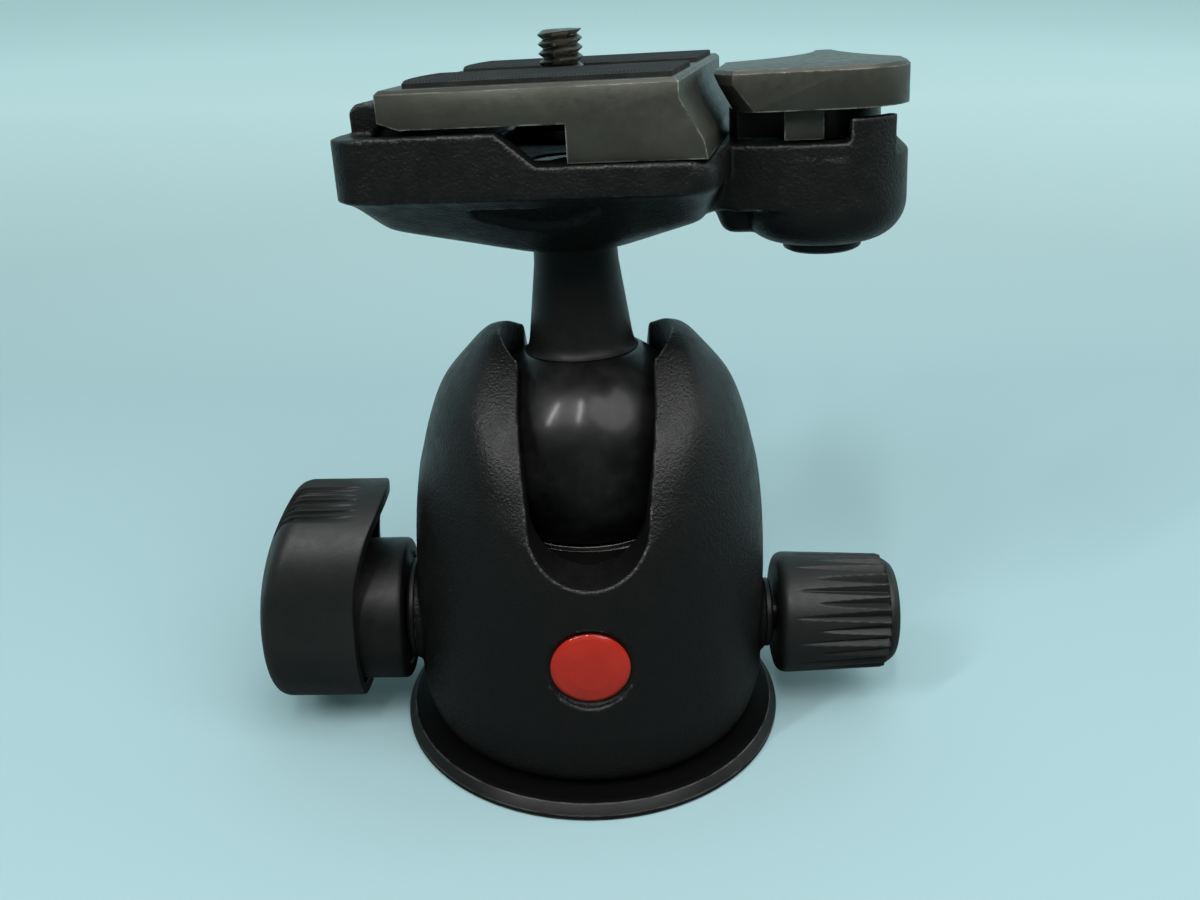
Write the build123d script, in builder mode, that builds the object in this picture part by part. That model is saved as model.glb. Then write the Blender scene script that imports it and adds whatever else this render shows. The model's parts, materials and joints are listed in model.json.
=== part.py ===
"""Tripod ball head with a quick-release plate. Millimetres, +Z up.

The origin is the centre of the base disc's underside. The housing's parts stand upright in that frame.
Everything that the ball carries is drawn upright above the ball's centre, then leaned and turned about that
centre in one step. Names that end in _n are heights above the ball's centre, along the stem.
"""
from build123d import *
from math import acos, asin, atan2, cos, degrees, radians, sin, sqrt, tan
import os

# ---- fits ----
run_gap = 0.05        # radial gap of a shaft that turns in its bore
ball_gap = 0.3        # between the ball and each spherical seat
flat_gap = 0.1        # between sliding flat faces
free_gap = 0.3        # between parts that pass each other

# ---- pose of the ball in which the head is drawn ----
side_lean = -2.5      # about Y, negative leans to -X
back_lean = -4.4      # about the leaned X axis, negative leans to +Y
stem_turn = -10.7     # about the stem

# ---- base ----
base_r = 32.0
base_h = 2.6
base_edge = 1.0       # height of the base's vertical edge
base_bevel = 1.2      # inward run of the bevel above that edge
socket_r = 4.76       # 3/8 inch thread, measured at the major diameter
socket_depth = 9.5
spindle_r = 12.0
spindle_neck_r = 8.0
spindle_thread_r = 10.0
nut_r = 16.0
nut_h = 3.0
washer_h = 0.6        # of each bearing washer
pan_washer_r = 19.0

# ---- housing ----
body_foot_r = 26.0
body_r = 29.1
body_fillet = 3.4
body_mid_in, body_mid_z = 0.45, 30.0     # how far inside the foot's radius the middle stands
body_upper_r, body_upper_z = 26.3, 50.0
body_shoulder_r, body_shoulder_z = 22.8, 60.7
crown_r, crown_z = 16.6, 67.6
crown_top_r = 14.4
vault_top_z = 69.3    # ridge of the vault that cuts the crown front and back
vault_high_y, vault_high_z = 9.8, 65.7
vault_mid_y, vault_mid_z = 18.2, 58.4
vault_foot_y, vault_foot_z = 25.6, 45.0     # where it runs out into the side
vault_foot_steep = 1.6    # how much steeper than its last chord it ends
bore_r = 19.9
bearing_plate_r = 24.0
bearing_plate_h = 5.0
bearing_screw_r = 1.5
bearing_screw_head_r = 2.2
bearing_screw_inset = 0.4      # how far inside the middle of the housing's wall they stand
bearing_hex_r = 1.2
bearing_screw_l = 10.0
bearing_screws_n = 4
mouth_r = 13.2
slot_half = 10.0      # half width of the front and back slots at their mouth
slot_end_r = 8.7
slot_end_z = 47.3
badge_r = 6.4
badge_h = 1.3
badge_z = 25.4
badge_recess = 1.0

# ---- ball and seats ----
ball_r = 18.0
ball_z = 49.8
liner_t = 0.9
liner_from, liner_to = 130.0, 165.0   # polar angles of the floating liner's two edges
cup_h = 11.0
cup_rim_z = 38.2
foot_h = 7.0          # the cup's foot, a trapezoid between the two wedges
foot_low_half = 3.0
foot_half_w = 6.5
top_seat_low, top_seat_high = 54.6, 60.2
seat_shoulder = 3.4      # slant at the top of the chamber and of the seats

# ---- stem ----
stem_top_r = 6.3
stem_low_r = 7.85
stem_low_n = 17.3
stem_top_n = 33.0
collar_r = 8.9
ball_flat_n = 15.5
tenon_r = 5.0
tenon_low_n = 2.0

# ---- locking knob, on -X ----
lock_z = 19.0
lock_screw_r = 4.0
lock_boss_r = 8.7
lock_boss_out = 0.1        # how far each boss stands out from the body's widest ring
lock_collar_r = 8.4
lock_collar_t = 1.1
lock_hub_r = 11.9
lock_hub_gap = 0.2         # between the hub and the collar
lock_hub_l = 14.5
lock_hub_round = 1.4
lock_low_r = 14.6     # the drum's outline is egg-shaped: its lower and upper arcs
lock_high_r = 13.5
lock_high_rise = 9.5
lock_end_out = 10.1        # from the hub's left end to the drum's end
lock_dome_r = 38.0
lock_end_round = 2.0
lock_rim_top = 1.7         # the open rim's distance from the hub's right end, from its top to its bottom
lock_rim_high = 6.4
lock_rim_mid = 7.0
lock_rim_low = 7.9
lock_wall = 2.0
lock_end_wall = 2.6
lock_core_r = 9.0

# ---- the two wedges under the cup ----
wedge_out_x = 14.5
wedge_half_w = 6.5
wedge_tip_half_x = 2.4
wedge_back_gap = 0.8       # room for the lock wedge to back off before its screw
friction_wedge_drop = 1.0      # how far the friction wedge stays below the cup's foot
cup_travel = 0.5           # how far the cup sinks when the lock is opened

# ---- friction knob, on +X ----
friction_z = 16.9
friction_screw_r = 3.0
friction_boss_r = 6.2
friction_boss_out = 0.3
friction_collar_r = 5.8
friction_collar_t = 1.0
friction_knob_gap = 0.8    # between the knob and its collar
friction_knob_r = 10.3
friction_tip_r = 9.65
friction_knob_l = 18.2
friction_cap_r = 8.8
friction_cap_round = 1.9
friction_cap_l = 2.5
friction_flutes = 28
friction_flute_depth = 0.8
friction_flute_r = 0.95
friction_flute_l = 14.0
friction_flute_end_r = 0.07      # where it runs out
friction_round = 0.9

# ---- receiver; x is across, y is front to back ----
rec_left, rec_right = -27.0, 24.5
rec_half_y = 27.5
rec_corner = 5.0
rec_low_n = 42.3
rec_floor_n = 46.65
rec_left_n = 50.8
rec_wall_n = 50.9
rec_wall_t = 3.2
rec_wall_ramp = 8.0
rec_wall_high_x, rec_wall_low_x = -3.6, 1.5
keel_n = 37.3
keel_half_y = 18.5
keel_foot_r = 9.8
keel_foot_n = 32.2
pocket_n = 44.4
pocket_left, pocket_right, pocket_half_y = -14.0, 16.5, 20.0
pocket_corner = 3.0
hook_left, hook_right = -24.6, -19.65
hook_n = 54.9
hook_half_y = 22.0
hook_round = 1.0
hub_x = 36.6
hub_r = 11.8
hub_low_n = 31.8
hub_top_n = 46.3
hub_stop_n = 49.4
hub_stop_in_r = 10.2
hub_round = 5.6
hub_shoulder = 2.2        # chamfer of the hub's top, right of the stop
hub_stop_from, hub_stop_to = -70.0, -31.0     # degrees about the hub, from +X
lobe_left_x, lobe_low_n = 21.6, 33.3
lobe_front_y, lobe_back_y = -5.5, 13.0
lobe_round = 2.6
web_front_y, web_back_y = -9.0, 13.8
spring_room_r = 6.5
spring_room_h = 6.0

# ---- lever ----
lever_low_n, lever_top_n = 50.7, 56.1
lever_front_y, lever_back_y = -11.8, 9.0
lever_reach = 14.6
lever_low_reach = 11.6     # the inner end slants in from the top to the underside
lever_nose_x = 3.6
lever_elbow_x, lever_elbow_y = 11.0, 4.0
lever_side_x, lever_side_y = 11.6, -3.0
lever_bulge_x, lever_bulge_y = 9.2, -9.4
lever_cam_in, lever_cam_right = 1.9, 0.4     # the cam stands back from the front and ends past the hub
lever_tip_half, lever_tip_drop = 1.8, 1.5
lever_cam_r = 13.0
lever_core_r = 8.0
lever_tip_x, lever_tip_y = 36.2, 31.0
lever_edge = 0.5
pivot_r = 3.5
pivot_head_r = 5.7
pivot_head_h = 1.6

# ---- plate ----
plate_top_n = 56.65
plate_band_h = 5.0
plate_low_n = 46.8
plate_left = -19.25
plate_top_right = 19.85
plate_band_right = 21.25
plate_low_right = 23.25
plate_cut_w, plate_cut_h = 2.9, 1.0   # cut along the lower left edge of the plate's band
plate_side_h = 2.4    # height of the right side above its slant
plate_half_y = 26.25
plate_edge = 0.5
rail_low_x, rail_in_x = -21.4, -14.5
rail_high_n, rail_low_n = 53.0, 49.8
rail_half_y = 21.0
rail_gap = 0.4        # between the rail and the hook, sideways
skirt_left = 5.4
plate_deck_t = 3.4
pad_h = 0.8
pad_left, pad_right = -16.2, 18.7
pad_in_y, pad_out_y = 4.0, 23.7
pad_bow = 1.6

# ---- camera screw ----
camera_x = -0.3
camera_thread_r = 3.175
camera_tip_n = 62.2
camera_head_r = 7.5
camera_head_top_n = 49.6
camera_head_h = 2.7
camera_neck_r = 4.4
camera_relief_r = 2.5     # plain shank between the neck and the thread
camera_slot_left, camera_slot_right = -5.6, 4.6
camera_slot_half = 3.35
camera_washer_r = 6.0
camera_washer_h = 0.6
coin_slot_w, coin_slot_h = 1.6, 1.4

# ---- stem bolt, catch pin, springs ----
bolt_r = 3.0
bolt_head_r = 5.5
bolt_head_h = 4.2
bolt_low_n = 20.0
catch_x, catch_y = 19.8, 8.0
catch_r = 1.6
catch_low_n = 43.2
catch_bore_n = 40.6
spring_wire = 0.35    # radius of both springs' wire

os.makedirs("parts", exist_ok=True)

body_mid_r = body_r - body_mid_in
lock_boss_x = -body_r - lock_boss_out
lock_hub_x = lock_boss_x - lock_collar_t - lock_hub_gap
lock_hub_left_x = lock_hub_x - lock_hub_l
lock_end_x = lock_hub_left_x - lock_end_out
friction_boss_x = body_r + friction_boss_out
friction_knob_x = friction_boss_x + friction_collar_t + friction_knob_gap
friction_shoulder_x = friction_knob_x + friction_knob_l
friction_end_x = friction_shoulder_x + friction_cap_l
bearing_low_z = base_h + washer_h
bearing_top_z = bearing_low_z + bearing_plate_h
nut_low_z = bearing_top_z + washer_h
liner_in_r = ball_r + ball_gap
liner_out_r = liner_in_r + liner_t
seat_r = liner_out_r + ball_gap
cup_r = bore_r - run_gap
cup_low_z = cup_rim_z - cup_h
foot_low_z = cup_low_z - foot_h
foot_high_half = foot_low_half + foot_h
wedge_low_z = nut_low_z + nut_h + free_gap
wedge_top_z = cup_low_z - cup_travel - free_gap
plate_band_n = plate_top_n - plate_band_h
deck_low_n = plate_top_n - plate_deck_t

# ================= base =================
with BuildPart() as base_disc:
    with BuildSketch(Plane.XZ):
        with BuildLine():
            Polyline(
                (spindle_neck_r, 0), (base_r, 0), (base_r, base_edge),
                (base_r - base_bevel, base_h), (spindle_neck_r, base_h), close=True,
            )
        make_face()
    revolve(axis=Axis.Z)
base_disc.part.label = "base_disc"

with BuildPart() as pan_spindle:
    with BuildSketch():
        Circle(spindle_neck_r)
    extrude(amount=base_h)
    with BuildSketch(Plane.XY.offset(base_h)):
        Circle(spindle_r)
    extrude(amount=bearing_top_z - base_h + flat_gap)
    with BuildSketch(Plane.XY.offset(bearing_top_z + flat_gap)):
        Circle(spindle_thread_r)
    extrude(amount=washer_h - flat_gap + nut_h)
    with BuildSketch():
        Circle(socket_r)
    extrude(amount=socket_depth, mode=Mode.SUBTRACT)
pan_spindle.part.label = "pan_spindle"

with BuildPart() as spindle_nut:
    with BuildSketch(Plane.XY.offset(nut_low_z)):
        Circle(nut_r)
        Circle(spindle_thread_r, mode=Mode.SUBTRACT)
        with PolarLocations(nut_r - 2.5, 4):
            Circle(1.2, mode=Mode.SUBTRACT)
    extrude(amount=nut_h)
    chamfer(spindle_nut.edges().group_by(Axis.Z)[-1].sort_by(SortBy.RADIUS)[-1], 0.5)
spindle_nut.part.label = "spindle_nut"


def bearing_washer(low_z, inner_r, outer_r):
    """Flat ring between the turning housing and the base."""
    with BuildPart() as ring:
        with BuildSketch(Plane.XY.offset(low_z)):
            Circle(outer_r)
            Circle(inner_r, mode=Mode.SUBTRACT)
        extrude(amount=washer_h - flat_gap)
    return ring.part


lower_washer = bearing_washer(base_h, spindle_r, pan_washer_r)
lower_washer.label = "lower_washer"
upper_washer = bearing_washer(bearing_top_z + flat_gap, spindle_thread_r, nut_r)
upper_washer.label = "upper_washer"

# ================= housing =================
bearing_screw_at = (bore_r + bearing_plate_r) / 2 - bearing_screw_inset
with BuildPart() as bearing_plate:
    with BuildSketch(Plane.XY.offset(bearing_low_z)):
        Circle(bearing_plate_r - run_gap)
        Circle(spindle_r + run_gap, mode=Mode.SUBTRACT)
    extrude(amount=bearing_plate_h)
    with BuildSketch(Plane.XY.offset(bearing_low_z)):
        with PolarLocations(bearing_screw_at, bearing_screws_n, 45):
            Circle(bearing_screw_r)
    extrude(amount=bearing_plate_h, mode=Mode.SUBTRACT)
    with BuildSketch(Plane.XY.offset(bearing_low_z)):
        with PolarLocations(bearing_screw_at, bearing_screws_n, 45):
            Circle(bearing_screw_head_r)
    extrude(amount=bearing_screw_head_r, mode=Mode.SUBTRACT)
bearing_plate.part.label = "bearing_plate"

with BuildPart() as bearing_screws:
    with BuildSketch(Plane.XY.offset(bearing_low_z + 0.1)):
        with PolarLocations(bearing_screw_at, bearing_screws_n, 45):
            Circle(bearing_screw_head_r)
            RegularPolygon(bearing_hex_r, 6, mode=Mode.SUBTRACT)
    extrude(amount=bearing_screw_head_r - 0.1)
    with BuildSketch(Plane.XY.offset(bearing_low_z + bearing_screw_head_r)):
        with PolarLocations(bearing_screw_at, bearing_screws_n, 45):
            Circle(bearing_screw_r)
    extrude(amount=bearing_screw_l)
bearing_screws.part.label = "bearing_screws"

foot_turn = 82.0      # degrees of the rounding at the housing's foot
foot_round = 0.9 * body_fillet
slot_top_z = vault_top_z + 5
seat_shoulder_z = top_seat_high - seat_shoulder
body_far = body_r + 2
with BuildPart() as housing:
    with BuildSketch(Plane.XZ):
        with BuildLine():
            foot = Line((0, bearing_low_z), (body_foot_r, bearing_low_z))
            corner = JernArc(foot @ 1, (1, 0), foot_round, foot_turn)
            side = Spline(
                (body_r, bearing_low_z + body_fillet), (body_mid_r, body_mid_z),
                (body_upper_r, body_upper_z), (body_shoulder_r, body_shoulder_z),
            )
            Line(corner @ 1, side @ 0)
            Polyline(
                side @ 1, (crown_r, crown_z), (crown_top_r, vault_top_z),
                (0, vault_top_z), (0, bearing_low_z),
            )
        make_face()
    revolve(axis=Axis.Z)
    # the crown is cut front and back by a vault that runs across the housing
    with BuildSketch(Plane.YZ):
        with BuildLine():
            half = [
                (0, vault_top_z), (vault_high_y, vault_high_z),
                (vault_mid_y, vault_mid_z), (vault_foot_y, vault_foot_z),
            ]
            foot_fall = vault_foot_steep * (vault_foot_z - vault_mid_z)
            back = Spline(*half, tangents=((1, 0), (vault_foot_y - vault_mid_y, foot_fall)))
            mirror(back, about=Plane.YZ)
            Polyline(
                back @ 1,
                (body_far, vault_foot_z),
                (body_far, 0),
                (-body_far, 0),
                (-body_far, vault_foot_z),
                (-vault_foot_y, vault_foot_z),
            )
        make_face()
    extrude(amount=body_far, both=True, mode=Mode.INTERSECT)
    # bosses for the two knobs
    with BuildSketch(Plane.YZ.offset(lock_boss_x)):
        with Locations((0, lock_z)):
            Circle(lock_boss_r)
    extrude(amount=-lock_boss_x - bore_r - 1)
    with BuildSketch(Plane.YZ.offset(friction_boss_x)):
        with Locations((0, friction_z)):
            Circle(friction_boss_r)
    extrude(amount=-(friction_boss_x - bore_r - 1))
    # seat of the bearing plate, chamber, spherical roof and mouth
    with BuildSketch(Plane.XY.offset(bearing_low_z)):
        Circle(bearing_plate_r)
    extrude(amount=bearing_plate_h, mode=Mode.SUBTRACT)
    with BuildSketch(Plane.XY.offset(bearing_top_z)):
        Circle(bore_r)
    extrude(amount=seat_shoulder_z - bearing_top_z, mode=Mode.SUBTRACT)
    with BuildSketch(Plane.XY.offset(seat_shoulder_z)):
        Circle(bore_r)
    extrude(amount=seat_shoulder, taper=45, mode=Mode.SUBTRACT)
    with Locations((0, 0, ball_z)):
        Sphere(ball_r + ball_gap, mode=Mode.SUBTRACT)
    with BuildSketch(Plane.XY.offset(top_seat_high)):
        Circle(mouth_r)
    extrude(amount=slot_top_z - top_seat_high, mode=Mode.SUBTRACT)
    # front and back slots
    with BuildSketch(Plane.XZ):
        with BuildLine():
            ThreePointArc((-slot_end_r, slot_end_z), (0, slot_end_z - slot_end_r), (slot_end_r, slot_end_z))
            Polyline(
                (slot_end_r, slot_end_z), (slot_half, body_shoulder_z), (slot_half, slot_top_z),
                (-slot_half, slot_top_z), (-slot_half, body_shoulder_z), (-slot_end_r, slot_end_z),
            )
        make_face()
    extrude(amount=body_far, both=True, mode=Mode.SUBTRACT)
    # bores for the two screws, holes for the bearing plate's screws, recess for the badge
    with BuildSketch(Plane.YZ.offset(lock_boss_x - 1)):
        with Locations((0, lock_z)):
            Circle(lock_screw_r + run_gap)
    extrude(amount=body_r / 2, mode=Mode.SUBTRACT)
    with BuildSketch(Plane.YZ.offset(friction_boss_x + 1)):
        with Locations((0, friction_z)):
            Circle(friction_screw_r + run_gap)
    extrude(amount=-body_r / 2, mode=Mode.SUBTRACT)
    with BuildSketch(Plane.XY.offset(bearing_top_z)):
        with PolarLocations(bearing_screw_at, bearing_screws_n, 45):
            Circle(bearing_screw_r)
    extrude(amount=bearing_screw_l + bearing_screw_head_r - bearing_plate_h, mode=Mode.SUBTRACT)
    with BuildSketch(Plane.XZ.offset(body_far)):
        with Locations((0, badge_z)):
            Circle(badge_r + 0.35)
    extrude(amount=body_mid_r - badge_recess - body_far, mode=Mode.SUBTRACT)
housing.part.label = "housing"

badge_seat_y = -(body_mid_r - badge_recess)
with BuildPart() as badge:
    with BuildSketch(Plane.XZ.offset(-badge_seat_y)):
        with Locations((0, badge_z)):
            Circle(badge_r)
    extrude(amount=badge_h)
    fillet(badge.edges().sort_by(Axis.Y)[0], badge_h * 0.6)
badge.part.label = "badge"

with BuildPart() as upper_seats:
    with BuildSketch(Plane.XY.offset(top_seat_low)):
        Circle(bore_r)
    extrude(amount=seat_shoulder_z - top_seat_low)
    with BuildSketch(Plane.XY.offset(seat_shoulder_z)):
        Circle(bore_r)
    extrude(amount=seat_shoulder, taper=45)
    with Locations((0, 0, ball_z)):
        Sphere(ball_r + ball_gap, mode=Mode.SUBTRACT)
        Box(2 * slot_half + 1.0, 3 * body_r, 2 * body_r, mode=Mode.SUBTRACT)
upper_seats.part.label = "upper_seats"

with BuildPart() as ball_liner:
    with BuildSketch(Plane.XZ):
        with BuildLine():
            arcs = []
            for r in (liner_in_r, liner_out_r):
                angles = (liner_from, (liner_from + liner_to) / 2, liner_to)
                points = [(r * sin(radians(a)), ball_z + r * cos(radians(a))) for a in angles]
                arcs.append(ThreePointArc(*points))
            Line(arcs[0] @ 0, arcs[1] @ 0)
            Line(arcs[0] @ 1, arcs[1] @ 1)
        make_face()
    revolve(axis=Axis.Z)
ball_liner.part.label = "ball_liner"

# the cup rides down the bore; its foot stands between two wedges that the screws push
with BuildPart() as ball_cup:
    with BuildSketch(Plane.XY.offset(cup_low_z)):
        Circle(cup_r)
    extrude(amount=cup_h)
    with Locations((0, 0, ball_z)):
        Sphere(seat_r, mode=Mode.SUBTRACT)
    with BuildSketch(Plane.XZ.offset(-foot_half_w)):
        with BuildLine():
            Polyline(
                (-foot_high_half, cup_low_z), (-foot_low_half, foot_low_z),
                (foot_low_half, foot_low_z), (foot_high_half, cup_low_z), close=True,
            )
        make_face()
    extrude(amount=2 * foot_half_w)
ball_cup.part.label = "ball_cup"


def wedge(side, gap):
    """Block with a 45 degree face, that far below the foot's face; side is -1 for left, 1 for right."""
    tip_z = foot_low_z + wedge_tip_half_x - foot_low_half - gap
    top_x = wedge_tip_half_x + wedge_top_z - tip_z
    with BuildPart() as block:
        with BuildSketch(Plane.XZ.offset(-wedge_half_w)):
            with BuildLine():
                Polyline(
                    (side * wedge_out_x, wedge_low_z), (side * wedge_out_x, wedge_top_z),
                    (side * top_x, wedge_top_z), (side * wedge_tip_half_x, tip_z),
                    (side * wedge_tip_half_x, wedge_low_z), close=True,
                )
            make_face()
        extrude(amount=2 * wedge_half_w)
    return block.part


lock_wedge = wedge(-1, 2 * flat_gap)
lock_wedge.label = "lock_wedge"
friction_wedge = wedge(1, friction_wedge_drop)
friction_wedge.label = "friction_wedge"

# ================= locking knob =================
with BuildPart() as lock_collar:
    with BuildSketch(Plane.YZ.offset(lock_boss_x - lock_collar_t)):
        with Locations((0, lock_z)):
            Circle(lock_collar_r)
            Circle(lock_screw_r + run_gap, mode=Mode.SUBTRACT)
    extrude(amount=lock_collar_t)
lock_collar.part.label = "lock_collar"

lock_screw_end_x = -(wedge_out_x + wedge_back_gap)
lock_screw_head_x = lock_hub_left_x - 4
with BuildPart() as lock_screw:
    with BuildSketch(Plane.YZ.offset(lock_screw_head_x)):
        with Locations((0, lock_z)):
            Circle(lock_screw_r)
    extrude(amount=lock_screw_end_x - lock_screw_head_x)
    chamfer(lock_screw.edges().sort_by(Axis.X)[-1], 0.6)
lock_screw.part.label = "lock_screw"

with BuildPart() as lock_hub:
    with BuildSketch(Plane.YZ.offset(lock_hub_left_x)):
        with Locations((0, lock_z)):
            Circle(lock_hub_r)
            Circle(lock_screw_r, mode=Mode.SUBTRACT)
    extrude(amount=lock_hub_x - lock_hub_left_x)
    fillet(lock_hub.edges().group_by(Axis.X)[-1].sort_by(SortBy.RADIUS)[-1], lock_hub_round)
lock_hub.part.label = "lock_knob_hub"


def egg(inset):
    """Draw the drum's outline, shrunk by the inset, in the open sketch."""
    with Locations((0, lock_z)):
        Circle(lock_low_r - inset)
    with Locations((0, lock_z + lock_high_rise)):
        Circle(lock_high_r - inset)
    make_hull()


dome_centre = (lock_end_x + lock_dome_r, 0, lock_z)
with BuildPart() as drum_hollow:
    with BuildSketch(Plane.YZ.offset(lock_end_x)):
        egg(lock_wall)
    extrude(amount=lock_dome_r)
    with Locations(dome_centre):
        Sphere(lock_dome_r - lock_end_wall, mode=Mode.INTERSECT)

drum_top_z = lock_z + lock_high_rise + lock_high_r
drum_low_z = lock_z - lock_low_r
with BuildPart() as lock_knob:
    with BuildSketch(Plane.YZ.offset(lock_end_x)):
        egg(0)
    extrude(amount=lock_dome_r)
    with Locations(dome_centre):
        Sphere(lock_dome_r, mode=Mode.INTERSECT)
    fillet(lock_knob.faces().sort_by(Axis.X)[0].edges(), lock_end_round)
    add(drum_hollow.part, mode=Mode.SUBTRACT)
    with BuildSketch(Plane.XZ.offset(-2 * lock_low_r)):
        with BuildLine():
            rim = Spline(
                (lock_hub_x - lock_rim_top, drum_top_z + 1),
                (lock_hub_x - lock_rim_high, lock_z + lock_low_r),
                (lock_hub_x - lock_rim_mid, lock_z),
                (lock_hub_x - lock_rim_low, drum_low_z - 1),
            )
            open_x = lock_hub_x + lock_dome_r
            Polyline(rim @ 0, (open_x, drum_top_z + 1), (open_x, drum_low_z - 1), rim @ 1)
        make_face()
    extrude(amount=4 * lock_low_r, mode=Mode.SUBTRACT)
    with BuildSketch(Plane.YZ.offset(lock_end_x + lock_end_wall)):
        with Locations((0, lock_z)):
            Circle(lock_core_r)
    extrude(amount=lock_hub_left_x - lock_end_x - lock_end_wall)
    with BuildSketch(Plane.YZ.offset(lock_screw_head_x)):
        with Locations((0, lock_z)):
            Circle(lock_screw_r)
    extrude(amount=lock_dome_r, mode=Mode.SUBTRACT)
lock_knob.part.label = "lock_knob"

# ================= friction knob =================
with BuildPart() as friction_collar:
    with BuildSketch(Plane.YZ.offset(friction_boss_x)):
        with Locations((0, friction_z)):
            Circle(friction_collar_r)
            Circle(friction_screw_r + run_gap, mode=Mode.SUBTRACT)
    extrude(amount=friction_collar_t)
friction_collar.part.label = "friction_collar"

friction_screw_in_x = wedge_out_x + wedge_back_gap
friction_screw_out_x = friction_shoulder_x - 4
with BuildPart() as friction_screw:
    with BuildSketch(Plane.YZ.offset(friction_screw_in_x)):
        with Locations((0, friction_z)):
            Circle(friction_screw_r)
    extrude(amount=friction_screw_out_x - friction_screw_in_x)
    chamfer(friction_screw.edges().sort_by(Axis.X)[0], 0.5)
friction_screw.part.label = "friction_screw"

with BuildPart() as friction_knob:
    with BuildSketch(Plane.XZ):
        with BuildLine():
            in_z = friction_z + friction_knob_r
            out_z = friction_z + friction_tip_r
            end_round = friction_round / 2
            Polyline(
                (friction_knob_x, friction_z), (friction_knob_x, in_z - friction_round),
                (friction_knob_x + friction_round, in_z), (friction_shoulder_x - end_round, out_z),
                (friction_shoulder_x, out_z - end_round), (friction_shoulder_x, friction_z), close=True,
            )
        make_face()
    revolve(axis=Axis((0, 0, friction_z), (1, 0, 0)))
    with BuildSketch(Plane.YZ.offset(friction_shoulder_x)):
        with Locations((0, friction_z)):
            with PolarLocations(friction_tip_r - friction_flute_depth + friction_flute_r, friction_flutes):
                Circle(friction_flute_r)
    flute_taper = degrees(atan2(friction_flute_r - friction_flute_end_r, friction_flute_l))
    extrude(amount=-friction_flute_l, taper=flute_taper, mode=Mode.SUBTRACT)
    with BuildSketch(Plane.YZ.offset(friction_knob_x)):
        with Locations((0, friction_z)):
            Circle(friction_screw_r)
    extrude(amount=friction_screw_out_x - friction_knob_x, mode=Mode.SUBTRACT)
friction_knob.part.label = "friction_knob"

with BuildPart() as friction_cap:
    with BuildSketch(Plane.YZ.offset(friction_shoulder_x)):
        with Locations((0, friction_z)):
            Circle(friction_cap_r)
    extrude(amount=friction_end_x - friction_shoulder_x)
    fillet(friction_cap.edges().sort_by(Axis.X)[-1], friction_cap_round)
friction_cap.part.label = "friction_knob_cap"


# ================= ball and stem, drawn upright =================
def up(n):
    """Plane across the stem at a height above the ball's centre."""
    return Plane.XY.offset(ball_z + n)


with BuildPart() as ball:
    with Locations((0, 0, ball_z)):
        Sphere(ball_r)
    with BuildSketch(up(ball_flat_n)):
        Circle(ball_r)
    extrude(amount=ball_r, mode=Mode.SUBTRACT)
    with BuildSketch(up(tenon_low_n)):
        Circle(tenon_r + run_gap)
    extrude(amount=ball_r, mode=Mode.SUBTRACT)
ball.part.label = "ball"

collar_low_n = ball_flat_n + run_gap
with BuildPart() as stem:
    with BuildSketch(up(tenon_low_n + flat_gap)):
        Circle(tenon_r)
    extrude(amount=collar_low_n - tenon_low_n - flat_gap)
    with BuildSketch(Plane.XZ):
        with BuildLine():
            Line((0, ball_z + collar_low_n), (collar_r, ball_z + collar_low_n))
            ThreePointArc(
                (collar_r, ball_z + collar_low_n), (collar_r - 0.8, ball_z + collar_low_n + 0.75),
                (stem_low_r, ball_z + stem_low_n),
            )
            Polyline(
                (stem_low_r, ball_z + stem_low_n), (stem_top_r, ball_z + stem_top_n),
                (0, ball_z + stem_top_n), (0, ball_z + collar_low_n),
            )
        make_face()
    revolve(axis=Axis.Z)
    with BuildSketch(up(bolt_low_n)):
        Circle(bolt_r)
    extrude(amount=stem_top_n, mode=Mode.SUBTRACT)
stem.part.label = "stem"

# ================= receiver =================
hub_place = (hub_x, 0)
floor_z = ball_z + rec_floor_n
rail_clear_x = rail_low_x - rail_gap
rec_mid_x = (rec_left + rec_right) / 2
rec_w = rec_right - rec_left


def on_hub(angle, reach=1):
    """Point on the hub's outline, or that many times as far out."""
    return (hub_x + reach * hub_r * cos(radians(angle)), reach * hub_r * sin(radians(angle)))


with BuildPart() as web_lobe:
    with BuildSketch(up(lobe_low_n)):
        with Locations(((lobe_left_x + hub_x) / 2, (lobe_front_y + lobe_back_y) / 2)):
            RectangleRounded(hub_x - lobe_left_x, lobe_back_y - lobe_front_y, lobe_round + 0.5)
    extrude(amount=hub_low_n + hub_round + 1 - lobe_low_n)
    fillet(web_lobe.edges().group_by(Axis.Z)[0], lobe_round)

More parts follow.
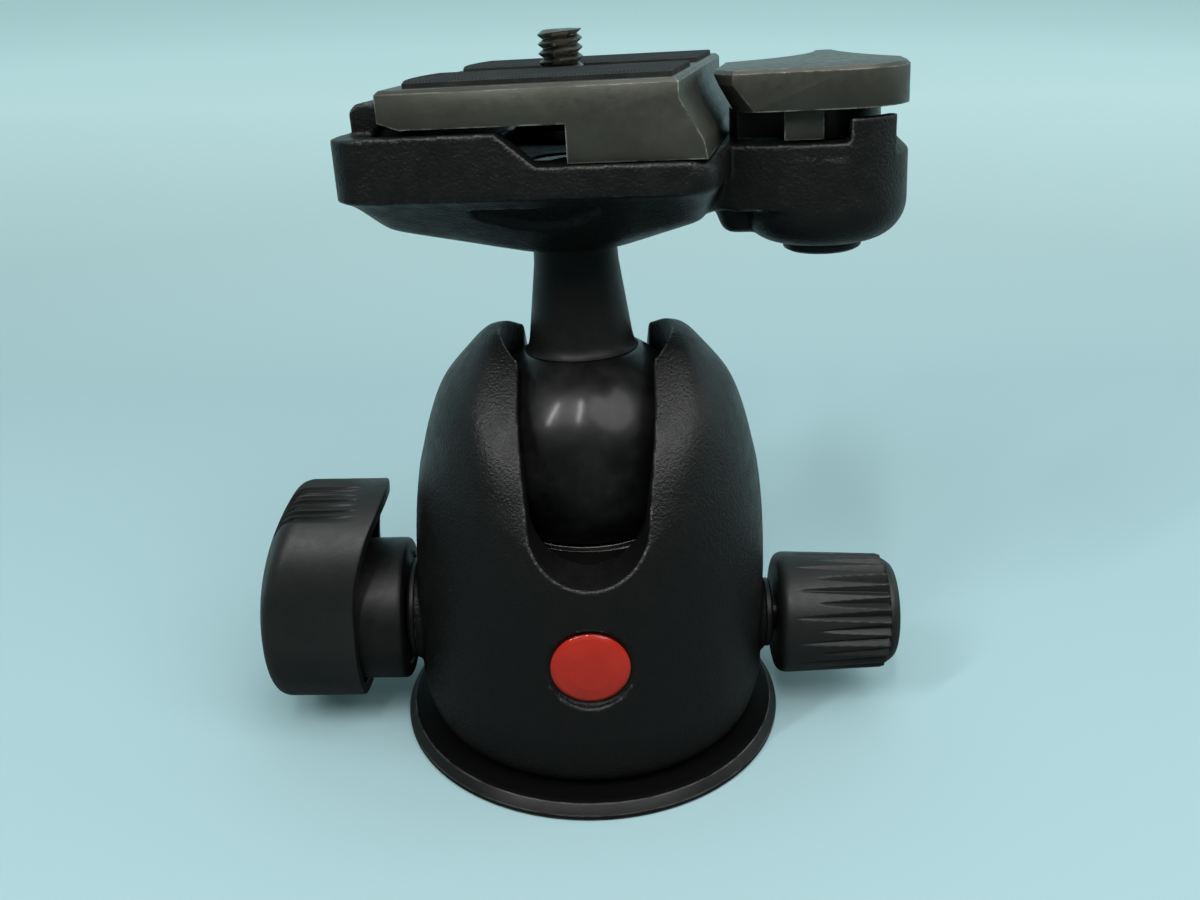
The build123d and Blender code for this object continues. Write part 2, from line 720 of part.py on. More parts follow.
with BuildPart() as receiver:
    with BuildSketch(up(rec_low_n)):
        with Locations((rec_mid_x, 0)):
            RectangleRounded(rec_w, 2 * rec_half_y, rec_corner)
    extrude(amount=rec_floor_n - rec_low_n)
    # keel that carries the stem
    with BuildSketch(up(rec_low_n)):
        with Locations((rec_mid_x, 0)):
            RectangleRounded(rec_w - 2, 2 * rec_half_y - 2, rec_corner)
    with BuildSketch(up(keel_n)):
        with Locations((rec_mid_x, 0)):
            RectangleRounded(rec_w - 6, 2 * keel_half_y, rec_corner)
    loft()
    with BuildSketch(up(keel_n)):
        with Locations((rec_mid_x, 0)):
            RectangleRounded(rec_w - 6, 2 * keel_half_y, rec_corner)
    with BuildSketch(up(keel_foot_n)):
        RectangleRounded(2 * keel_foot_r, 2 * keel_foot_r, keel_foot_r - 0.1)
    loft()
    # left rail with the hook over the plate's rail
    with BuildSketch(Plane.XZ.offset(-rec_half_y)):
        with BuildLine():
            Polyline(
                (rec_left, floor_z), (rec_left, ball_z + rec_left_n),
                (rail_clear_x, ball_z + rec_left_n), (rail_clear_x, floor_z), close=True,
            )
        make_face()
    extrude(amount=2 * rec_half_y)
    with BuildSketch(Plane.XZ.offset(-hook_half_y)):
        with BuildLine():
            hook_z = ball_z + hook_n
            Polyline(
                (hook_left, floor_z), (hook_left, hook_z - hook_round), (hook_left + hook_round, hook_z),
                (hook_right, hook_z), (hook_right, ball_z + rail_high_n + flat_gap),
                (rail_clear_x, ball_z + rail_low_n + flat_gap), (rail_clear_x, floor_z), close=True,
            )
        make_face()
    extrude(amount=2 * hook_half_y)
    # front wall, high on the left and low on the right
    with BuildSketch(Plane.XZ.offset(rec_half_y - rec_wall_t)):
        with BuildLine():
            Polyline(
                (rec_left, floor_z), (rec_left, ball_z + rec_left_n),
                (rec_left + rec_wall_ramp, ball_z + rec_wall_n), (rec_wall_high_x, ball_z + rec_wall_n),
                (rec_wall_low_x, floor_z), close=True,
            )
        make_face()
    extrude(amount=rec_wall_t)
    # one rounded outline for all of that
    with BuildSketch(up(0)):
        with Locations((rec_mid_x, 0)):
            RectangleRounded(rec_w, 2 * rec_half_y, rec_corner)
    extrude(amount=hook_n + 2, mode=Mode.INTERSECT)
    # hub of the lever, round below, and the web that carries it
    with BuildSketch(Plane.XZ):
        with BuildLine():
            hub_side_x = hub_x + hub_r
            hub_low_z = ball_z + hub_low_n
            hub_top_z = ball_z + hub_top_n
            bulge = hub_round * (1 - sin(radians(45)))
            ThreePointArc(
                (hub_side_x - hub_round, hub_low_z), (hub_side_x - bulge, hub_low_z + bulge),
                (hub_side_x, hub_low_z + hub_round),
            )
            Polyline(
                (hub_side_x, hub_low_z + hub_round), (hub_side_x, hub_top_z - hub_shoulder),
                (hub_side_x - hub_shoulder, hub_top_z), (hub_x, hub_top_z), (hub_x, hub_low_z),
                (hub_side_x - hub_round, hub_low_z),
            )
        make_face()
    revolve(axis=Axis((hub_x, 0, 0), (0, 0, 1)))
    with BuildSketch(up(hub_low_n + hub_round)):
        with BuildLine():
            web_in_x = rec_right - rec_corner - 1
            Polyline(
                (web_in_x, web_front_y), (hub_x, -hub_r), on_hub(hub_stop_from),
                (hub_x, hub_r - 1), (web_in_x, web_back_y), close=True,
            )
        make_face()
    extrude(amount=hub_top_n - hub_low_n - hub_round)
    add(web_lobe.part)
    # raised stop on the hub's front right
    with BuildSketch(up(hub_top_n - hub_shoulder - flat_gap)):
        with Locations(hub_place):
            Circle(hub_r)
            Circle(hub_stop_in_r, mode=Mode.SUBTRACT)
        with BuildLine():
            Polyline(hub_place, on_hub(hub_stop_from, 2), on_hub(hub_stop_to, 2), close=True)
        make_face(mode=Mode.INTERSECT)
    extrude(amount=hub_stop_n - hub_top_n + hub_shoulder + flat_gap)
    # pocket under the plate, seat and bore of the stem bolt, seat of the stem
    with BuildSketch(up(pocket_n)):
        with Locations(((pocket_left + pocket_right) / 2, 0)):
            RectangleRounded(pocket_right - pocket_left, 2 * pocket_half_y, pocket_corner)
    extrude(amount=hook_n - pocket_n, mode=Mode.SUBTRACT)
    with BuildSketch(up(pocket_n - bolt_head_h)):
        Circle(bolt_head_r + free_gap)
    extrude(amount=bolt_head_h, mode=Mode.SUBTRACT)
    with BuildSketch(up(keel_foot_n)):
        Circle(bolt_r + run_gap)
    extrude(amount=pocket_n - keel_foot_n, mode=Mode.SUBTRACT)
    with BuildSketch(up(keel_foot_n)):
        Circle(stem_top_r + 0.2)
    extrude(amount=stem_top_n - keel_foot_n, mode=Mode.SUBTRACT)
    # bore of the lever pivot, room for its spring, bore of the catch pin
    with BuildSketch(up(hub_low_n)):
        with Locations(hub_place):
            Circle(pivot_r)
    extrude(amount=hub_stop_n - hub_low_n, mode=Mode.SUBTRACT)
    with BuildSketch(up(hub_top_n - spring_room_h)):
        with Locations(hub_place):
            Circle(spring_room_r)
    extrude(amount=spring_room_h, mode=Mode.SUBTRACT)
    with BuildSketch(up(catch_bore_n)):
        with Locations((catch_x, catch_y)):
            Circle(catch_r + run_gap)
    extrude(amount=rec_floor_n - catch_bore_n, mode=Mode.SUBTRACT)
receiver.part.label = "receiver"

with BuildPart() as stem_bolt:
    with BuildSketch(up(bolt_low_n)):
        Circle(bolt_r)
    extrude(amount=pocket_n - bolt_head_h - bolt_low_n)
    with BuildSketch(up(pocket_n - bolt_head_h)):
        Circle(bolt_head_r)
    extrude(amount=bolt_head_h - free_gap)
    with BuildSketch(up(pocket_n - bolt_head_h / 2)):
        RegularPolygon(bolt_head_r / 2, 6)
    extrude(amount=bolt_head_h, mode=Mode.SUBTRACT)
stem_bolt.part.label = "stem_bolt"

# ================= lever =================
cam_low_n = max(hub_top_n, rec_floor_n) + flat_gap
pivot_seat_n = lever_low_n + 2.6
lever_swing_r = hub_x - plate_top_right - free_gap
end_angle = degrees(acos(lever_reach / lever_swing_r))
front_angle = degrees(asin(-lever_front_y / lever_swing_r))
mid_angle = (end_angle + front_angle) / 2


def on_swing(angle):
    """Point on the circle in which the lever's inner corner passes the plate."""
    return (hub_x - lever_swing_r * cos(radians(angle)), -lever_swing_r * sin(radians(angle)))


# what the plate's slanted side takes away from the lever's inner front corner
with BuildPart() as swing_room:
    with BuildSketch(Plane.XZ):
        with BuildLine():
            Polyline(
                (hub_x - lever_swing_r, ball_z + plate_top_n),
                (hub_x - lever_swing_r, ball_z + plate_top_n - plate_side_h),
                (plate_band_right + free_gap, ball_z + plate_band_n),
                (plate_low_right + free_gap, ball_z + plate_low_n),
                (-hub_x, ball_z + plate_low_n), (-hub_x, ball_z + plate_top_n), close=True,
            )
        make_face()
    revolve(axis=Axis((hub_x, 0, 0), (0, 0, 1)))
    with Locations((hub_x, 0, ball_z)):
        Box(
            4 * hub_x, 4 * hub_x, 4 * plate_top_n, mode=Mode.INTERSECT,
            align=(Align.MAX, Align.MAX, Align.CENTER),
        )

with BuildPart() as lever:
    with BuildSketch(up(lever_low_n)):
        with BuildLine():
            arm_left_x = hub_x - lever_reach
            elbow = (hub_x + lever_elbow_x, lever_elbow_y)
            tip_right = (lever_tip_x + lever_tip_half, lever_tip_y - lever_tip_drop)
            tip_left = (lever_tip_x - lever_tip_half, lever_tip_y - lever_tip_drop)
            side = (hub_x + lever_side_x, lever_side_y)
            nose = (hub_x + lever_nose_x, lever_front_y)
            Polyline((arm_left_x, lever_back_y), (arm_left_x, on_swing(end_angle)[1]))
            ThreePointArc((arm_left_x, on_swing(end_angle)[1]), on_swing(mid_angle), on_swing(front_angle))
            Line(on_swing(front_angle), nose)
            ThreePointArc(nose, (hub_x + lever_bulge_x, lever_bulge_y), side)
            Line(side, elbow)
            ThreePointArc(elbow, (hub_x + lever_elbow_x / 2, lever_tip_y / 2), tip_right)
            ThreePointArc(tip_right, (lever_tip_x, lever_tip_y), tip_left)
            ThreePointArc(tip_left, (hub_x - 6.0, 16.5), (arm_left_x, lever_back_y))
        make_face()
    extrude(amount=lever_top_n - lever_low_n)
    chamfer(lever.faces().sort_by(Axis.Z)[-1].edges(), lever_edge)
    with BuildSketch(up(cam_low_n)):
        with Locations(hub_place):
            Circle(lever_core_r)
    extrude(amount=lever_low_n - cam_low_n)
    # cam that presses the plate's flank
    with BuildSketch(up(cam_low_n)):
        with Locations(hub_place):
            Circle(lever_cam_r)
        with BuildLine():
            cam_far_x = hub_x - 2 * lever_cam_r
            cam_front_y = lever_front_y + lever_cam_in
            Polyline(
                hub_place, (cam_far_x, lever_core_r), (cam_far_x, cam_front_y),
                (hub_x + lever_cam_right, cam_front_y), close=True,
            )
        make_face(mode=Mode.INTERSECT)
    extrude(amount=lever_low_n - cam_low_n)
    # inner end follows the slant of the plate's flank
    with BuildSketch(Plane.XZ.offset(-2 * lever_tip_y)):
        with BuildLine():
            far_x = hub_x - 2 * lever_reach
            lever_low_z = ball_z + lever_low_n
            lever_top_z = ball_z + lever_top_n
            Polyline(
                (far_x, lever_top_z), (hub_x - lever_reach, lever_top_z),
                (hub_x - lever_low_reach, lever_low_z), (far_x, lever_low_z), close=True,
            )
        make_face()
    extrude(amount=4 * lever_tip_y, mode=Mode.SUBTRACT)
    add(swing_room.part, mode=Mode.SUBTRACT)
    with BuildSketch(up(cam_low_n)):
        with Locations(hub_place):
            Circle(pivot_r + run_gap)
    extrude(amount=pivot_seat_n - cam_low_n, mode=Mode.SUBTRACT)
lever.part.label = "lever"

with BuildPart() as lever_pivot:
    with BuildSketch(up(hub_low_n - pivot_head_h)):
        with Locations(hub_place):
            Circle(pivot_head_r)
    extrude(amount=pivot_head_h)
    fillet(lever_pivot.edges().sort_by(Axis.Z)[0], 0.9)
    with BuildSketch(up(hub_low_n)):
        with Locations(hub_place):
            Circle(pivot_r)
    extrude(amount=pivot_seat_n - flat_gap - hub_low_n)
lever_pivot.part.label = "lever_pivot"


def coil(radius, pitch, low_n, high_n, x, y):
    """Round-wire spring between two heights, wound about an axis along the stem."""
    rise = high_n - low_n - 2 * spring_wire
    with BuildPart() as spring:
        with BuildLine(Plane((x, y, ball_z + low_n + spring_wire))):
            path = Helix(pitch, rise, radius)
        with BuildSketch(Plane(origin=path @ 0, z_dir=path % 0)):
            Circle(spring_wire)
        sweep(path=path)
    return spring.part


room_low_n = hub_top_n - spring_room_h
lever_spring = coil(pivot_r + 2 * spring_wire, 1.4, room_low_n + run_gap, hub_top_n - free_gap, hub_x, 0)
lever_spring.label = "lever_spring"
catch_spring = coil(
    catch_r - 2 * spring_wire, 0.85, catch_bore_n + run_gap, catch_low_n - run_gap, catch_x, catch_y,
)
catch_spring.label = "catch_spring"

with BuildPart() as catch_pin:
    with BuildSketch(up(catch_low_n)):
        with Locations((catch_x, catch_y)):
            Circle(catch_r)
    extrude(amount=plate_low_n - flat_gap - catch_low_n)
    chamfer(catch_pin.edges().sort_by(Axis.Z)[-1], 0.3)
catch_pin.part.label = "catch_pin"

# ================= plate =================
top_z = ball_z + plate_top_n
band_z = ball_z + plate_band_n
low_z = ball_z + plate_low_n
with BuildPart() as plate:
    with BuildSketch(Plane.XZ.offset(-plate_half_y)):
        with BuildLine():
            Polyline(
                (plate_left, top_z), (plate_left, band_z + plate_cut_h), (plate_left + plate_cut_w, band_z),
                (plate_band_right, band_z), (plate_top_right, top_z - plate_side_h),
                (plate_top_right, top_z), close=True,
            )
        make_face()
    extrude(amount=2 * plate_half_y)
    chamfer(plate.faces().sort_by(Axis.Z)[-1].edges(), plate_edge)
    # rail under the hook
    with BuildSketch(Plane.XZ.offset(-rail_half_y)):
        with BuildLine():
            Polyline(
                (rail_in_x, band_z + plate_cut_h), (plate_left, ball_z + rail_high_n),
                (rail_low_x, ball_z + rail_low_n), (rail_low_x, low_z), (rail_in_x, low_z), close=True,
            )
        make_face()
    extrude(amount=2 * rail_half_y)
    # skirt with the flank that the lever grips
    with BuildSketch(Plane.XZ.offset(-plate_half_y)):
        with BuildLine():
            Polyline(
                (skirt_left, band_z), (skirt_left, low_z), (plate_low_right, low_z),
                (plate_low_right - 0.5, (low_z + band_z) / 2), (plate_band_right, band_z), close=True,
            )
        make_face()
    extrude(amount=2 * plate_half_y)
    with BuildSketch(up(plate_low_n)):
        with Locations(((pocket_left + pocket_right) / 2, 0)):
            RectangleRounded(pocket_right - pocket_left, 2 * pocket_half_y, pocket_corner)
    extrude(amount=deck_low_n - plate_low_n, mode=Mode.SUBTRACT)
    with BuildSketch(up(plate_low_n)):
        with Locations(((camera_slot_left + camera_slot_right) / 2, 0)):
            SlotOverall(camera_slot_right - camera_slot_left, 2 * camera_slot_half)
    extrude(amount=plate_top_n - plate_low_n, mode=Mode.SUBTRACT)
plate.part.label = "plate"


def grip_pad(y_in, y_out):
    """Rubber strip whose left end is bowed."""
    with BuildPart() as pad:
        with BuildSketch(up(plate_top_n)):
            with BuildLine():
                bow = (pad_left - pad_bow, (y_in + y_out) / 2)
                ThreePointArc((pad_left, y_in), bow, (pad_left, y_out))
                Polyline((pad_left, y_out), (pad_right, y_out), (pad_right, y_in), (pad_left, y_in))
            make_face()
        extrude(amount=pad_h)
    return pad.part


front_pad = grip_pad(-pad_out_y, -pad_in_y)
front_pad.label = "front_pad"
rear_pad = grip_pad(pad_in_y, pad_out_y)
rear_pad.label = "rear_pad"

washer_low_n = deck_low_n - run_gap - camera_washer_h
camera_thread_n = plate_top_n + pad_h + flat_gap
with BuildPart() as screw_washer:
    with BuildSketch(up(washer_low_n)):
        with Locations((camera_x, 0)):
            Circle(camera_washer_r)
            Circle(camera_thread_r + run_gap, mode=Mode.SUBTRACT)
    extrude(amount=camera_washer_h)
screw_washer.part.label = "screw_washer"

with BuildPart() as camera_screw:
    with BuildSketch(up(camera_head_top_n - camera_head_h)):
        with Locations((camera_x, 0)):
            Circle(camera_head_r)
    extrude(amount=camera_head_h)
    chamfer(camera_screw.edges(), 0.4)
    with BuildSketch(up(camera_head_top_n)):
        with Locations((camera_x, 0)):
            Circle(camera_neck_r)
    extrude(amount=washer_low_n - run_gap - camera_head_top_n)
    with BuildSketch(up(washer_low_n - run_gap)):
        with Locations((camera_x, 0)):
            Circle(camera_relief_r)
    extrude(amount=camera_thread_n - washer_low_n + run_gap)
    with BuildSketch(up(camera_thread_n)):
        with Locations((camera_x, 0)):
            Circle(camera_thread_r)
    extrude(amount=camera_tip_n - camera_thread_n)
    chamfer(camera_screw.edges().sort_by(Axis.Z)[-1], 0.6)
    with BuildSketch(up(camera_head_top_n - camera_head_h)):
        with Locations((camera_x, 0)):
            Rectangle(2 * camera_head_r - 3, coin_slot_w)
    extrude(amount=coin_slot_h, mode=Mode.SUBTRACT)
camera_screw.part.label = "camera_screw"

# ================= pose and files =================
side_place = Location((0, 0, ball_z)) * Location((0, 0, 0), (0, side_lean, 0))
fore_place = side_place * Location((0, 0, 0), (back_lean, 0, 0))
stem_place = fore_place * Location((0, 0, 0), (0, 0, stem_turn))
sunk = Location((0, 0, -ball_z))
standing = [
    base_disc.part, pan_spindle.part, spindle_nut.part, lower_washer, upper_washer, bearing_plate.part,
    bearing_screws.part, housing.part, badge.part, upper_seats.part, ball_cup.part, lock_wedge,
    friction_wedge, lock_collar.part, lock_screw.part, lock_hub.part, lock_knob.part, friction_collar.part,
    friction_screw.part, friction_knob.part, friction_cap.part,
]
carried = [
    stem.part, stem_bolt.part, receiver.part, lever.part, lever_pivot.part, lever_spring, catch_spring,
    catch_pin.part, plate.part, front_pad, rear_pad, screw_washer.part, camera_screw.part,
]
placed = [(piece, Location()) for piece in standing]
placed += [(ball_liner.part, side_place * sunk), (ball.part, fore_place * sunk)]
placed += [(piece, stem_place * sunk) for piece in carried]
for upright, place in placed:
    leaned = upright.moved(place)
    leaned.label = upright.label
    export_step(leaned, f"parts/{upright.label}.step")
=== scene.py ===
"""Looks of the tripod ball head: surfaces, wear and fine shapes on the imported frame.

The object's sizes are in millimetres and become metres when a mesh is made. The stage is in metres.
"""
import json
import math

import bmesh
import bpy
from mathutils import Matrix, Vector


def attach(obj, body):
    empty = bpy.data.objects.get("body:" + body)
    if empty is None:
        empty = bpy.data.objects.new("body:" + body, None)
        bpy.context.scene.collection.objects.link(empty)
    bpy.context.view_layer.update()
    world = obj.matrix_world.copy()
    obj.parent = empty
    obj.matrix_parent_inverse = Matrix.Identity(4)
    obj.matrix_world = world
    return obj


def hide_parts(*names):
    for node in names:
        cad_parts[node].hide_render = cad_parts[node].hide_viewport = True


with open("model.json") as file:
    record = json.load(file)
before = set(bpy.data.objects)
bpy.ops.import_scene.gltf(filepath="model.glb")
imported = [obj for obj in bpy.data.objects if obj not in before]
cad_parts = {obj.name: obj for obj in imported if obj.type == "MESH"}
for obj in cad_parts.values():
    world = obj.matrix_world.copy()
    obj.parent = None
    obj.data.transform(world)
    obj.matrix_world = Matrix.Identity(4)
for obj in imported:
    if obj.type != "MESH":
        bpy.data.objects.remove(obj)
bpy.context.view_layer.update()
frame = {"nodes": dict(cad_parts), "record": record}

MM = 0.001
UP = Matrix.Identity(4)
TINY = 1e-6
SHARP = 32           # degrees between two faces, above which their edge stays sharp
NEW_WELD, COPY_WELD = 1e-7, 1e-6    # metres within which points are one
SOFT_FACTOR = 0.5    # share of the way to its neighbours' middle that a pass moves a point
STRAIGHT = 88        # degrees of half a corner, above which it needs no rounding
MOST_RUN = 0.48      # share of a side that one rounded corner may take
CASTING_TRIANGLES = 180000
NODE_SAMPLES = 6     # rays of the nodes that find edges and recesses

# ---- sizes shared with the frame ----
BALL_Z = 49.8
BALL_R = 18.0
SIDE_LEAN, BACK_LEAN, STEM_TURN = -2.5, -4.4, -10.7
LOCK_Z = 19.0
FRICTION_Z = 16.9


def shift(x, y, z):
    return Matrix.Translation((x, y, z))


def turn(angle, axis):
    return Matrix.Rotation(math.radians(angle), 4, axis)


SIDE = shift(0, 0, BALL_Z) @ turn(SIDE_LEAN, "Y")
FORE = SIDE @ turn(BACK_LEAN, "X")
TOP = FORE @ turn(STEM_TURN, "Z")
TOP_BACK = TOP.inverted()
LOCK = shift(0, 0, LOCK_Z) @ turn(90, "Y")
FRICTION = shift(0, 0, FRICTION_Z) @ turn(90, "Y")


# ================= mesh helpers =================
def added(name, data):
    """New object in the scene."""
    obj = bpy.data.objects.new(name, data)
    bpy.context.scene.collection.objects.link(obj)
    return obj


def smooth(obj, sharp=SHARP):
    obj.data.shade_smooth()
    obj.data.set_sharp_from_angle(angle=math.radians(sharp))


def weld(mesh, distance, outwards=False):
    """Join points that coincide and, where asked, turn the faces outwards."""
    bm = bmesh.new()
    bm.from_mesh(mesh)
    bmesh.ops.remove_doubles(bm, verts=bm.verts, dist=distance)
    if outwards:
        bmesh.ops.recalc_face_normals(bm, faces=bm.faces)
    bm.to_mesh(mesh)
    bm.free()


def piece(name, verts, faces, place=UP, sharp=SHARP):
    """Mesh object from points in millimetres, moved to its place and smoothed up to an edge angle."""
    mesh = bpy.data.meshes.new(name)
    mesh.from_pydata([(place @ Vector(v)) * MM for v in verts], [], faces)
    mesh.validate()
    weld(mesh, NEW_WELD, outwards=True)
    obj = added(name, mesh)
    smooth(obj, sharp)
    return obj


def copy_of(node, name):
    """New piece with a frame node's shape."""
    mesh = frame["nodes"][node].data.copy()
    mesh.materials.clear()
    weld(mesh, COPY_WELD)
    return added(name, mesh)


def place_piece(obj, body, material, slot, *nodes):
    """Give a piece its material, its body and the frame nodes that it stands for."""
    obj.data.materials.clear()
    obj.data.materials.append(material)
    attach(obj, body)
    if nodes:
        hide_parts(*nodes)


def fade(value, low, high):
    """Nought at low, one at high, straight in between."""
    return max(0.0, min(1.0, (value - low) / (high - low)))


def bow(start, corner, end, steps):
    """Points on the curve from start to end that the corner pulls at."""
    points = []
    for k in range(steps + 1):
        t = k / steps
        points.append(tuple(start * (1 - t) ** 2 + corner * 2 * t * (1 - t) + end * t ** 2))
    return points


def rounded(points, radius, steps=4):
    """Path with its inner corners rounded; radius is one number or one for each inner corner."""
    radii = radius if isinstance(radius, (list, tuple)) else [radius] * (len(points) - 2)
    path = [points[0]]
    for before, corner, after, r in zip(points, points[1:], points[2:], radii):
        a = Vector(before) - Vector(corner)
        b = Vector(after) - Vector(corner)
        half = a.angle(b) / 2
        if r <= 0 or half > math.radians(STRAIGHT):
            path.append(corner)
            continue
        run = min(r / math.tan(half), MOST_RUN * a.length, MOST_RUN * b.length)
        start = Vector(corner) + a.normalized() * run
        end = Vector(corner) + b.normalized() * run
        path += bow(start, Vector(corner), end, steps)
    path.append(points[-1])
    return path


def ring_faces(low, high):
    """Quads between two rings of point numbers, or triangles where one is a single point."""
    turns = max(len(low), len(high))
    faces = []
    for k in range(turns):
        j = (k + 1) % turns
        if len(low) == 1:
            faces.append((low[0], high[k], high[j]))
        elif len(high) == 1:
            faces.append((low[k], low[j], high[0]))
        else:
            faces.append((low[k], low[j], high[j], high[k]))
    return faces


def lathe(name, profile, place=UP, turns=128, sharp=SHARP):
    """Surface of revolution of (radius, height) pairs about the place's Z axis."""
    verts, rings = [], []
    for r, h in profile:
        start = len(verts)
        if r < TINY:
            verts.append((0, 0, h))
        else:
            angles = [2 * math.pi * k / turns for k in range(turns)]
            verts += [(r * math.cos(a), r * math.sin(a), h) for a in angles]
        rings.append(range(start, len(verts)))
    faces = []
    for low, high in zip(rings, rings[1:]):
        if len(low) > 1 or len(high) > 1:
            faces += ring_faces(low, high)
    return piece(name, verts, faces, place, sharp)


def turned(name, profile, rounding, place=UP, turns=128, sharp=SHARP, steps=4, ring=False):
    """Lathed body with rounded corners; the profile of a ring is closed."""
    path = rounded(profile, rounding, steps)
    return lathe(name, path + path[:1] if ring else path, place, turns, sharp)


def prism(name, outline, low, high, place=UP):
    """Straight body on a closed outline."""
    count = len(outline)
    verts = [(x, y, low) for x, y in outline] + [(x, y, high) for x, y in outline]
    faces = [tuple(range(count))[::-1], tuple(range(count, 2 * count))]
    faces += [(k, (k + 1) % count, count + (k + 1) % count, count + k) for k in range(count)]
    return piece(name, verts, faces, place)


def modify(obj, kind, **settings):
    modifier = obj.modifiers.new(kind.lower(), kind)
    for key, value in settings.items():
        setattr(modifier, key, value)


def applied(obj):
    """Bake the modifiers into the mesh."""
    graph = bpy.context.evaluated_depsgraph_get()
    graph.update()
    mesh = bpy.data.meshes.new_from_object(obj.evaluated_get(graph))
    obj.modifiers.clear()
    obj.data = mesh


def bevelled(obj, width, angle, sharp=40):
    """Round every edge sharper than the angle."""
    modify(
        obj, "BEVEL", width=width * MM, segments=2, limit_method="ANGLE",
        angle_limit=math.radians(angle), miter_outer="MITER_ARC", use_clamp_overlap=True,
    )
    applied(obj)
    smooth(obj, sharp)


def combined(obj, other, operation="DIFFERENCE"):
    """Boolean of two bodies; the second one is used up."""
    modify(obj, "BOOLEAN", operation=operation, object=other, solver="EXACT")
    applied(obj)
    bpy.data.objects.remove(other)


def cast(obj, voxel, passes):
    """Remesh a hard body so that its corners melt as a casting's do, within a number of triangles."""
    modify(obj, "REMESH", mode="VOXEL", voxel_size=voxel * MM)
    modify(obj, "SMOOTH", factor=SOFT_FACTOR, iterations=passes)
    applied(obj)
    triangles = 2 * len(obj.data.polygons)
    if triangles > CASTING_TRIANGLES:
        modify(obj, "DECIMATE", ratio=CASTING_TRIANGLES / triangles)
        applied(obj)
    obj.data.shade_smooth()


def soften(obj, weight, passes):
    """Smooth the mesh where weight, a function of a point in millimetres, is above nought."""
    group = obj.vertex_groups.new(name="soft")
    for vertex in obj.data.vertices:
        amount = weight(vertex.co / MM)
        if amount > 0:
            group.add([vertex.index], min(1.0, amount), "REPLACE")
    modify(obj, "SMOOTH", factor=SOFT_FACTOR, iterations=passes, vertex_group="soft")
    applied(obj)
    obj.vertex_groups.clear()


def hull_of(obj, name):
    """Convex skin around a body."""
    bm = bmesh.new()
    for vertex in obj.data.vertices:
        bm.verts.new(vertex.co)
    skin = bmesh.ops.convex_hull(bm, input=bm.verts)
    spare = skin["geom_interior"] + skin["geom_unused"]
    inner = {part for part in spare if isinstance(part, bmesh.types.BMVert)}
    bmesh.ops.delete(bm, geom=list(inner), context="VERTS")
    mesh = bpy.data.meshes.new(name)
    bm.to_mesh(mesh)
    bm.free()
    return added(name, mesh)


# ================= materials =================
class Tree:
    """A node tree under construction, with short ways to feed it."""

    def __init__(self, tree, space):
        self.tree = tree
        self.place = self.add("ShaderNodeTexCoord").outputs[space]

    def add(self, kind, **settings):
        node = self.tree.nodes.new(kind)
        for key, value in settings.items():
            setattr(node, key, value)
        return node

    def link(self, source, target):
        self.tree.links.new(source, target)

    def part(self, vector, axis):
        """One coordinate of a vector."""
        split = self.add("ShaderNodeSeparateXYZ")
        self.link(vector, split.inputs["Vector"])
        return split.outputs[axis]

    def ramp(self, source, cut, to=(0.0, 1.0)):
        """The source's values between the two of cut, stretched to the two of to."""
        node = self.add("ShaderNodeMapRange", clamp=True)
        node.inputs["From Min"].default_value, node.inputs["From Max"].default_value = cut
        node.inputs["To Min"].default_value, node.inputs["To Max"].default_value = to
        self.link(source, node.inputs["Value"])
        return node.outputs["Result"]

    def join(self, operation, first, second):
        node = self.add("ShaderNodeMath", operation=operation)
        self.link(first, node.inputs[0])
        self.link(second, node.inputs[1])
        return node.outputs["Value"]

    def times(self, first, second):
        return self.join("MULTIPLY", first, second)


